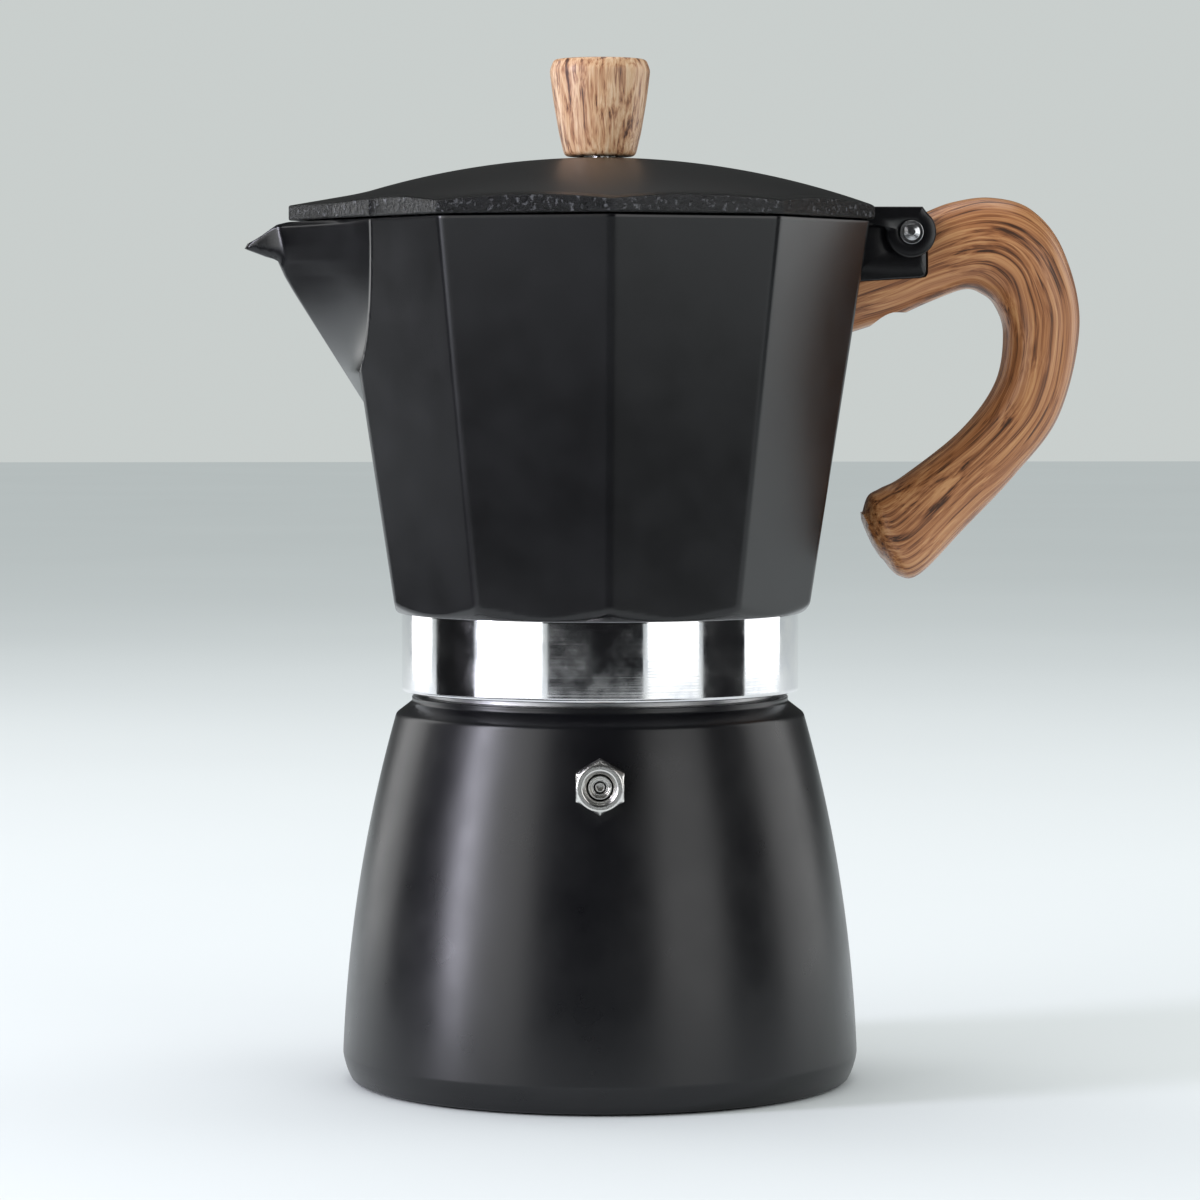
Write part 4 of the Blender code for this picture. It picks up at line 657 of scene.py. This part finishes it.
# %% Chamber casting
FINE_FROM, EDGE, FLOOR_TURN = 130 * MM, 0.25 * MM, 3 * MM
corner_rows = BASE + (np.linspace(0, 1, 9) ** 1.5)[:, None] * TURNED + 0 * columns
plain_rows = np.linspace(96.2 * MM, FINE_FROM, 8)[:, None] + 0 * columns
fine_height = rim_z - EDGE - FINE_FROM
spout_rows = FINE_FROM + fine_height * np.linspace(0, 1, 84)[1:, None]
outside_z = np.concatenate([corner_rows, plain_rows, spout_rows])
outside_r = outer_distance(columns, from_spout, outside_z)
inside_z = FINE_FROM + fine_height * np.linspace(1, 0, 60)[:, None]
inside_z = np.concatenate([inside_z, np.linspace(120, 100, 3)[:, None] * MM + 0 * columns])
inside_r = inner_distance(columns, from_spout, inside_z)
edge_out, edge_in = outside_r[-1], inside_r[0]
bevel_r = np.stack([edge_out - 0.06 * MM, edge_out - EDGE, edge_in + EDGE, edge_in + 0.06 * MM])
bevel_z = rim_z + np.array([-0.08, 0, 0, -0.08])[:, None] * MM
ease = np.linspace(0, np.pi / 2, 7)[1:, None]
floor_r = inside_r[-1] - FLOOR_TURN * (1 - np.cos(ease))
floor_z = 100 * MM - FLOOR_TURN * np.sin(ease) + 0 * columns
below = np.array([(6.5, 97.0), (6.5, 94.8), (7.5, 94.8), (25.9, 92.1), (32.6, 92.1), (37.6, 92.1),
                  (37.6, 91.8)]) * MM
below_r, below_z = below[:, :1] + 0 * columns, below[:, 1:] + 0 * columns
all_r = np.concatenate([outside_r, bevel_r, inside_r, floor_r, below_r])
all_z = np.concatenate([outside_z, bevel_z, inside_z, floor_z, below_z])
chamber = grid_piece("chamber_casting", polar(all_r, columns, all_z), along=True)
dress(chamber, smooth_enamel, "chamber", "black_paint", "upper_chamber")
chamber.data.materials.append(blasted_aluminium)
rows_outside = len(outside_z) + 1
row_of_face = np.arange(len(chamber.data.polygons)) // len(columns)
chamber.data.polygons.foreach_set("material_index", (row_of_face >= rows_outside).astype(np.int32))
print("chamber rows:", len(all_r), "painted:", rows_outside)

# %% [markdown]
# The collar under the chamber is turned bright and left bare. It is a ring of its own here, sunk a
# little into the casting, so that the paint stops at a clean line. It hides the thread and holds
# the gasket in a pocket.

# %% Collar and its thread
collar = turned("collar_band", np.array([
    (38.8, 76.5), (38.8, 92.2), (32.9, 92.2), (32.9, 88.8), (35.9, 88.8), (35.9, 77.3),
    (36.7, 76.5)]) * MM, 0.55 * MM, 256)
dress(collar, polished_collar, "chamber", "bare_aluminium")
collar_thread = wound_ridge("collar_thread", 35.9 * MM, 34.5 * MM, -np.pi / 2, 80.05 * MM, 1.5)
dress(collar_thread, blasted_aluminium, "chamber", "bare_aluminium")

# %% [markdown]
# The coffee rises through the column in the middle and comes out of two slots under its cap. The
# tube is turned, and a box then cuts both slots through its wall with a Boolean.

# %% Riser column


def cut(piece, cutter):
    """Takes the cutter away from the piece and keeps the result as the piece's own mesh."""
    step = piece.modifiers.new("cut", "BOOLEAN")
    step.operation, step.solver, step.object = "DIFFERENCE", "EXACT", cutter
    graph = bpy.context.evaluated_depsgraph_get()
    result = bpy.data.meshes.new_from_object(piece.evaluated_get(graph))
    piece.modifiers.remove(step)
    piece.data = result
    bpy.data.objects.remove(cutter)


def slab(name, outline, low, high):
    """A prism: an outline of (x, z) points from y = low to y = high, closed by its two ends."""
    outline = np.asarray(outline, float)
    ends = [np.insert(outline, 1, y, axis=1) for y in (low, high)]
    count = len(outline)
    faces = [(i, (i + 1) % count, count + (i + 1) % count, count + i) for i in range(count)]
    faces += [tuple(range(count)), tuple(range(count, 2 * count))]
    mesh = bpy.data.meshes.new(name)
    mesh.from_pydata(np.concatenate(ends), [], faces)
    bm = bmesh.new()
    bm.from_mesh(mesh)
    bmesh.ops.recalc_face_normals(bm, faces=bm.faces)
    bm.to_mesh(mesh)
    bm.free()
    return linked(name, mesh)


column = turned("riser_tube", np.array([
    (4.2, 94.8), (6.2, 94.8), (6.2, 97.3), (8.6, 97.3), (8.6, 99.3), (7.4, 100.3), (6.4, 149.3),
    (4.4, 151.3), (0.001, 151.3), (0.001, 148.3), (4.2, 148.3)]) * MM, 0.5 * MM, 96)
window = slab("window", [(-0.01, 0.1433), (0.01, 0.1433), (0.01, 0.1483), (-0.01, 0.1483)],
              -2.75 * MM, 2.75 * MM)
cut(column, window)
dress(column, blasted_aluminium, "chamber", "bare_aluminium", "riser_column")

# %% [markdown]
# The hinge is a cast knuckle behind the chamber, with an ear of the lid on each side and a pin
# through all three. Each is a plate with a hole, so each is a grid round the pin: columns go round
# the hole, and rows go from the hole over one face to the edge, and back over the other face.

# %% Plates round the hinge pin
PIN = np.array([59.967, 165.65]) * MM


def ray_lengths(outline, angle):
    """How far a ray from the pin goes before it meets the outline: for every edge the crossing is
    solved at once, and the farthest one that lies on its edge is kept."""
    a = np.asarray(outline, float)
    b = np.roll(a, -1, axis=0)
    way = np.stack([np.cos(angle), np.sin(angle)], axis=-1)[:, None]
    edge = (b - a)[None]
    cross = way[..., 0] * edge[..., 1] - way[..., 1] * edge[..., 0]
    cross = np.where(np.abs(cross) < 1e-12, 1e-12, cross)
    far = (a[None, :, 0] * edge[..., 1] - a[None, :, 1] * edge[..., 0]) / cross
    share = (a[None, :, 0] * way[..., 1] - a[None, :, 1] * way[..., 0]) / cross
    hit = (share > -1e-6) & (share < 1 + 1e-6) & (far > 0)
    return np.where(hit, far, 0).max(axis=1)


def holed_plate(name, outline, hole, low, high, edge):
    """Rows: the hole's wall, a face with a bevel of edge at its rim, the rim, the other face."""
    angle = np.linspace(0, 2 * np.pi, 360, endpoint=False)
    corner_angles = np.arctan2(*np.asarray(outline).T[::-1]) % (2 * np.pi)
    angle = np.unique(np.round(np.concatenate([angle, corner_angles]), 6))
    far = ray_lengths(outline, angle)
    middle = hole + 0.5 * (far - hole)
    half = [0 * far + hole, 0 * far + hole + 0.2 * MM, middle, far - edge, far - 0.3 * edge, far]
    distance = np.stack(half + half[::-1])
    level = np.array([low + 0.2 * MM, low, low, low, low + 0.3 * edge, low + edge, high - edge,
                      high - 0.3 * edge, high, high, high, high - 0.2 * MM])[:, None]
    points = np.stack([PIN[0] + distance * np.cos(angle), level + 0 * distance,
                       PIN[1] + distance * np.sin(angle)], axis=-1)
    return grid_piece(name, points, along=True)


def around_pin(radius, start_degrees, stop_degrees, count=20):
    angle = np.radians(np.linspace(start_degrees, stop_degrees, count))
    return radius * np.stack([np.cos(angle), np.sin(angle)], axis=-1)


shelf = RIM - 0.4 * MM - PIN[1]
knuckle_outline = np.concatenate([
    np.array([(-13.2, -9.7), (2.1, -8.8), (2.9, -8.5), (3.3, -7.6)]) * MM,
    around_pin(4.4 * MM, -41, 150),
    [(-5.6 * MM, shelf), (-13.2 * MM, shelf)],
])
knuckle = holed_plate("hinge_knuckle", knuckle_outline, 1.5 * MM, -6.5 * MM, 6.5 * MM, 0.4 * MM)
dress(knuckle, smooth_enamel, "chamber", "black_paint")

LID_LOW = 168.0 * MM
ear_top = LID_LOW + 2.6 * MM - PIN[1]
ear_outline = np.concatenate([
    [(-10.8 * MM, ear_top), (-10.8 * MM, LID_LOW - PIN[1]), (-6.5 * MM, LID_LOW - PIN[1])],
    around_pin(4.9 * MM, 176, 395, 30),
    [(3.0 * MM, ear_top - 1.1 * MM), (2.2 * MM, ear_top)],
])
for word, low in (("front", -9.0), ("back", 6.8)):
    ear = holed_plate(f"lid_ear_{word}", ear_outline, 1.5 * MM, low * MM, (low + 2.2) * MM,
                      0.35 * MM)
    dress(ear, smooth_enamel, "lid", "black_paint")

# %% Hinge pin and its washers
ACROSS = np.array([[PIN[0], 0, PIN[1]], [1, 0, 0], [0, 0, 1], [0, -1, 0]])
pin = turned("hinge_rivet", np.array([
    (0, -10.7), (0.7, -10.7), (1.6, -10.35), (1.6, -10.1), (1.2, -10.1), (1.2, 10.1), (1.6, 10.1),
    (1.6, 10.35), (0.7, 10.7), (0, 10.7)]) * MM, 0.2 * MM, 64, ring=False, place=ACROSS)
dress(pin, zinc_plate, "chamber", "steel", "hinge_pin")
for word, low in (("front", 9.3), ("back", -9.8)):
    profile = np.array([(1.5, low), (2.3, low), (2.3, low + 0.5), (1.5, low + 0.5)]) * MM
    ring = turned(f"hinge_ring_{word}", profile, 0.12 * MM, 64, place=ACROSS)
    dress(ring, zinc_plate, "chamber", "steel", f"hinge_washer_{word}")

# %% [markdown]
# The lid is a shallow dome cut by the same ten facets, a millimetre wider than the chamber, with a
# beak that covers the spout. As a grid it is an outline and a height over it: the outline is the
# larger of the ten sides and the beak's wedge, and the height the larger of a sphere and the beak's
# sloping roof. A map named rim marks the rough edge band for its finish.

# %% Lid
LID_TOP, DOME, HOLE, SHEET = 180.2 * MM, 157.0 * MM, 2.1 * MM, 2.2 * MM
lid_out = larger(ten_sided(columns, 54.8 * MM * math.cos(FACING), 2.2 * MM),
                 wedge(from_spout, 60.6 * MM, 44.7 * MM, 27.4 * MM, 2.6 * MM), 0.5 * MM)
lid_in = larger(46.1 * MM + 0 * columns,
                wedge(from_spout, 57.1 * MM, 44.6 * MM, 22.8 * MM, 1.6 * MM), 0.8 * MM)


def roof(distance):
    """Height of the lid's top: a sphere, or the beak's roof, which rises from its two front edges
    to a crown on the dome."""
    x, y = distance * np.cos(columns), np.abs(distance * np.sin(columns))
    dome = LID_TOP - DOME + np.sqrt(DOME**2 - distance**2)
    run = np.hypot(15.5, 27.6)
    inwards = ((x + 60.6 * MM) * 27.6 - y * 15.5) / run
    crown = (22.6 * 27.6) / run * MM
    beak = LID_LOW + 2.9 * MM + 3.9 * MM * inwards / crown
    beak = np.where((np.cos(columns) < 0) & (x < -37 * MM), beak, 0)
    return larger(dome, beak, 0.6 * MM)


edge_z = roof(lid_out)
wall = np.array([0.0, 0.12, 0.5, 0.88])[:, None]
wall_z = LID_LOW + 0.3 * MM + (edge_z - LID_LOW - 0.6 * MM) * wall
wall_r = lid_out + 0 * wall
turn_r = lid_out - np.array([0.0, 0.09, 0.3, 0.7])[:, None] * MM
turn_z = roof(turn_r) - np.array([0.3, 0.09, 0.0, 0.0])[:, None] * MM
top_share = np.linspace(1, 0, 46)[1:, None]
top_r = HOLE + (lid_out - 0.7 * MM - HOLE) * top_share
top_z = roof(top_r)
under_r = HOLE + (lid_in - HOLE) * np.linspace(0, 1, 24)[:, None]
under_z = roof(under_r) - SHEET
foot_r = np.stack([lid_in, lid_in + 0.3 * MM, lid_out - 0.3 * MM, lid_out - 0.09 * MM])
foot_z = LID_LOW + np.array([0.3, 0.0, 0.0, 0.09])[:, None] * MM + 0 * foot_r
all_r = np.concatenate([wall_r, turn_r, top_r, under_r, foot_r])
all_z = np.concatenate([wall_z, turn_z, top_z, under_z, foot_z])
rough = np.concatenate([np.ones(len(wall_r) + 2), [0.7, 0.15],
                        np.zeros(len(top_r) + len(under_r)), np.full(4, 0.8)])
rim_map = np.stack([np.repeat(rough[:, None], len(columns) + 1, axis=1),
                    np.zeros((len(rough), len(columns) + 1))], axis=-1)
lid = grid_piece("lid_casting", polar(all_r, columns, all_z), along=True, maps={"rim": rim_map})
dress(lid, rough_lid_enamel, "lid", "black_paint", "lid")

# %% [markdown]
# The knob flares upwards from a narrow foot, with a soft edge and a nearly flat top. It is hollow
# below, where the brass insert sits that its screw bites into.

# %% Lid knob
knob = turned("knob_grip", np.array([
    (3.5, 180.5), (6.9, 180.5), (8.0, 185.1), (9.1, 191.6), (9.8, 197.2), (9.0, 199.3),
    (4.0, 199.6), (0, 199.6), (0, 190.5), (3.5, 190.5)]) * MM, 1.1 * MM)
dress(knob, knob_wood, "lid", "pale_wood_effect", "lid_knob")

# %% [markdown]
# The handle is a hook with a section between an oval and a box. It is drawn by ribs from its outer
# to its inner side, and a smooth curve through all of them gives as many sections as wanted. Two UV
# maps hold each point's place in the straightened grip, so the grain follows the hook.

# %% Handle
RIBS = np.array([
    (-6.0, 0.3, -15.2, -20.7, 6.2), (2.6, 3.7, -3.8, -17.0, 6.3), (9.0, 6.1, 4.5, -13.4, 6.6),
    (16.6, 7.0, 11.4, -10.9, 7.2), (24.4, 4.7, 15.1, -11.9, 7.8), (30.7, -3.2, 17.6, -14.3, 8.2),
    (34.0, -17.6, 19.2, -19.6, 8.3), (30.1, -35.4, 17.7, -29.0, 8.2),
    (21.4, -47.2, 11.0, -38.3, 8.0), (11.2, -58.0, -0.3, -47.3, 8.2),
    (2.8, -66.6, -4.9, -49.8, 8.4), (-1.3, -67.0, -7.3, -51.3, 7.6),
    (-4.2, -64.0, -8.4, -54.4, 5.2),
]) * MM


def through(rows, count):
    """Count rows on the curve that passes through all rows: between two of them it is the cubic
    whose slopes there are half the step between their neighbours."""
    place = np.linspace(0, len(rows) - 1, count)
    i = np.minimum(place.astype(int), len(rows) - 2)
    t = (place - i)[:, None]
    p0, p1, p2 = rows[np.maximum(i - 1, 0)], rows[i], rows[i + 1]
    p3 = rows[np.minimum(i + 2, len(rows) - 1)]
    return 0.5 * (2 * p1 + (p2 - p0) * t + (2 * p0 - 5 * p1 + 4 * p2 - p3) * t**2
                  + (3 * p1 - p0 - 3 * p2 + p3) * t**3)


def squarish(value, power=2 / 2.3):
    return np.sign(value) * np.abs(value) ** power


ribs = through(RIBS, 180)
around = np.linspace(0, 2 * np.pi, 97)
across, sideways = squarish(np.cos(around)), squarish(np.sin(around))
middle, reach = (ribs[:, 0:2] + ribs[:, 2:4]) / 2, (ribs[:, 0:2] - ribs[:, 2:4]) / 2
xz = middle[:, None] + reach[:, None] * across[None, :, None]
y = ribs[:, 4:5] * sideways
points = np.stack([PIN[0] + xz[..., 0], y, PIN[1] + xz[..., 1]], axis=-1)
steps = np.linalg.norm(np.diff(middle, axis=0), axis=1)
length = np.concatenate([[0], np.cumsum(steps)])
section = np.stack([np.linalg.norm(reach, axis=1)[:, None] * across, y], axis=-1)
lengthwise = np.stack([length[:, None] + 0 * y, 0 * y], axis=-1)
end_caps = [points[:1].mean(axis=1, keepdims=True) + 0 * points[:1],
            points[-1:].mean(axis=1, keepdims=True) + 0 * points[-1:]]
tip = [end_caps[1] + (points[-1:] - end_caps[1]) * share + shift for share, shift in (
    (0.93, np.array([-0.5, 0, 0.25]) * MM), (0.6, np.array([-1.1, 0, 0.6]) * MM),
    (0.0, np.array([-1.3, 0, 0.7]) * MM))]
points = np.concatenate([end_caps[0], points, *tip])[:, :-1]
section = np.concatenate([section[:1] * 0, section, section[-1:], section[-1:] * 0.6,
                          section[-1:] * 0])
lengthwise = np.concatenate([lengthwise[:1], lengthwise, *[lengthwise[-1:]] * 3])
handle = grid_piece("handle_grip", points, maps={"section": section, "length": lengthwise})
print("hook length %.0f mm" % (length[-1] / MM))

# %% [markdown]
# The hook ends against the knuckle and the chamber. Its end is cut by both, grown by the 0.3 mm of
# air that the real pieces leave, and by the slope that clears the lid's ears.

# %% Fit the handle to the bracket
AIR = 0.3 * MM
grown = np.concatenate([
    np.array([(-13.2, -9.74), (2.1, -8.84), (3.2, -8.6), (3.6, -7.9)]) * MM,
    around_pin(4.7 * MM, -41, 150), [(-5.6 * MM, shelf + AIR), (-13.2 * MM, shelf + AIR)],
])
cut(handle, slab("knuckle_room", grown + PIN, -15 * MM, 15 * MM))
above = [(-12, 1.05), (1.5, 1.05), (9.0, 14.1), (-12, 14.1)]
cut(handle, slab("lid_room", np.array(above) * MM + PIN, -15 * MM, 15 * MM))
low_x, high_x = apothem_at(RIM - 40 * MM) + AIR, apothem_at(RIM + 3 * MM) + AIR
cut(handle, slab("chamber_room", [(0.03, RIM - 40 * MM), (low_x, RIM - 40 * MM),
                                  (high_x, RIM + 3 * MM), (0.03, RIM + 3 * MM)], -15 * MM, 15 * MM))
screw_place = np.array([[PIN[0] - 3.6 * MM, 0, 0], [1, 0, 0], [0, 1, 0], [0, 0, 1]])
bore = turned("bore", np.array([(0, 0.135), (0.00366, 0.135), (0.00366, 0.15355), (0.0019, 0.15355),
                                (0.0019, 0.17), (0, 0.17)]), 0.01 * MM, 48, ring=False,
              place=screw_place)
cut(handle, bore)
handle.data.set_sharp_from_angle(angle=math.radians(40))
dress(handle, handle_wood, "chamber", "wood_effect", "handle")

# %% [markdown]
# The pot stands on a plain pale floor that runs out to a pale surround. Soft boxes on both sides
# give the broad highlights, and a strip the narrow one on the boiler. Black cards, which only
# reflections see, put the dark bands on the polished collar and keep the leaning facets black. The
# camera is low and in front, a little to the left.

# %% Floor and surround
world = bpy.data.worlds.new("studio")
bpy.context.scene.world = world
world.use_nodes = True
sky = world.node_tree.nodes["Background"]
path = node(world.node_tree, "LightPath").outputs
seen = node(world.node_tree, "MapRange", {"Value": path["Is Camera Ray"], "To Min": 0.07,
                                          "To Max": 0.74})
level = node(world.node_tree, "Math", {0: path["Is Diffuse Ray"], 1: 0.74,
                                       2: seen.outputs["Result"]}, operation="MULTIPLY_ADD")
sky.inputs["Color"].default_value = colour("e6ecea")
world.node_tree.links.new(level.outputs["Value"], sky.inputs["Strength"])
floor_mesh = bpy.data.meshes.new("floor")
floor_mesh.from_pydata([(-6, -6, 0), (6, -6, 0), (6, 6, 0), (-6, 6, 0)], [], [(0, 1, 2, 3)])
floor = linked("floor", floor_mesh)
pale, tree, shader = start("pale_matt_table_top", Roughness=0.9, Specular_IOR_Level=0.0)
cloud = node(tree, "TexNoise", {"Vector": in_place(tree), "Scale": 3.0, "Detail": 2.0})
tint = node(tree, "ValToRGB", {"Fac": cloud.outputs["Fac"]},
            stops=[(0.3, "dcdfe1"), (0.7, "dee1e3")])
tree.links.new(tint.outputs["Color"], shader.inputs["Base Color"])
floor.data.materials.append(pale)

# %% Soft boxes


def soft_box(name, bearing, distance, height, width, tall, power, tint="ffffff"):
    """A lit rectangle that faces the pot, at a bearing in degrees from straight in front."""
    light = bpy.data.lights.new(name, "AREA")
    light.shape, light.size, light.size_y = "RECTANGLE", width, tall
    light.energy, light.color = power, colour(tint)[:3]
    lamp = linked(name, light)
    turn = math.radians(bearing)
    lamp.location = (distance * math.sin(turn), -distance * math.cos(turn), height)
    aim = math.atan2(height - 0.1, distance)
    lamp.rotation_euler = (math.pi / 2 - aim, 0, turn)
    return lamp


soft_box("left_box", -53, 1.1, 0.35, 0.75, 0.9, 4.2)
soft_box("left_strip", -71, 1.1, 0.45, 0.2, 0.9, 8.5, tint="f0efff")
soft_box("right_box", 40, 1.3, 0.35, 0.75, 0.8, 3.4)
soft_box("right_rear_box", 106, 1.2, 0.35, 0.8, 0.9, 3.6)
soft_box("left_rear_box", -128, 1.2, 0.4, 0.6, 0.9, 3.2)
top = soft_box("top_box", 180, 0.35, 1.3, 1.0, 1.0, 5)
top.rotation_euler = (math.radians(14), 0, math.pi)

# %% Black cards
CARD_TOP, OFF_FLOOR = 0.7, 0.3 * MM
black, tree, shader = start("black_card", Roughness=1.0, Base_Color=colour("050506"))


def upright(bearing, distance, width, low):
    """Corners of a rectangle that stands at a bearing and a distance, from low up to CARD_TOP."""
    turn = math.radians(bearing)
    side = np.array([math.cos(turn), math.sin(turn), 0]) * width / 2
    foot = np.array([distance * math.sin(turn), -distance * math.cos(turn), low])
    lift = np.array([0, 0, CARD_TOP - low])
    return [foot - side, foot + side, foot + side + lift, foot - side + lift]


def card(name, corners, faces=((0, 1, 2, 3),)):
    """A black sheet that only mirror reflections meet."""
    mesh = bpy.data.meshes.new(name)
    mesh.from_pydata(corners, [], faces)
    mesh.materials.append(black)
    made = linked(name, mesh)
    made.visible_camera = made.visible_diffuse = made.visible_shadow = False


card("front_card", upright(-5, 0.6, 0.60, 0.03))
card("right_card", upright(72, 0.6, 0.32, 0))
card("left_card", upright(-93, 0.6, 0.34, 0))
floor_outline = [(-0.55, -0.55), (0.36, -0.55), (0.36, -0.22), (-0.27, -0.22), (-0.27, 0.2),
                 (-0.55, 0.2)]
card("floor_card", [(x, y, OFF_FLOOR) for x, y in floor_outline], [tuple(range(6))])

# %% Camera
camera = bpy.data.cameras.new("camera")
camera.lens, camera.sensor_width = 136.5, 36.0
eye = linked("camera", camera)
BEARING, AWAY, EYE_HEIGHT, AIM_HEIGHT = math.radians(-2.4), 0.890, 0.139, 0.094
eye.location = (AWAY * math.sin(BEARING), -AWAY * math.cos(BEARING), EYE_HEIGHT)
drop = math.atan2(EYE_HEIGHT - AIM_HEIGHT, AWAY)
eye.rotation_euler = (math.pi / 2 - drop, 0, BEARING)
bpy.context.scene.camera = eye
bpy.context.scene.view_settings.view_transform = "Standard"
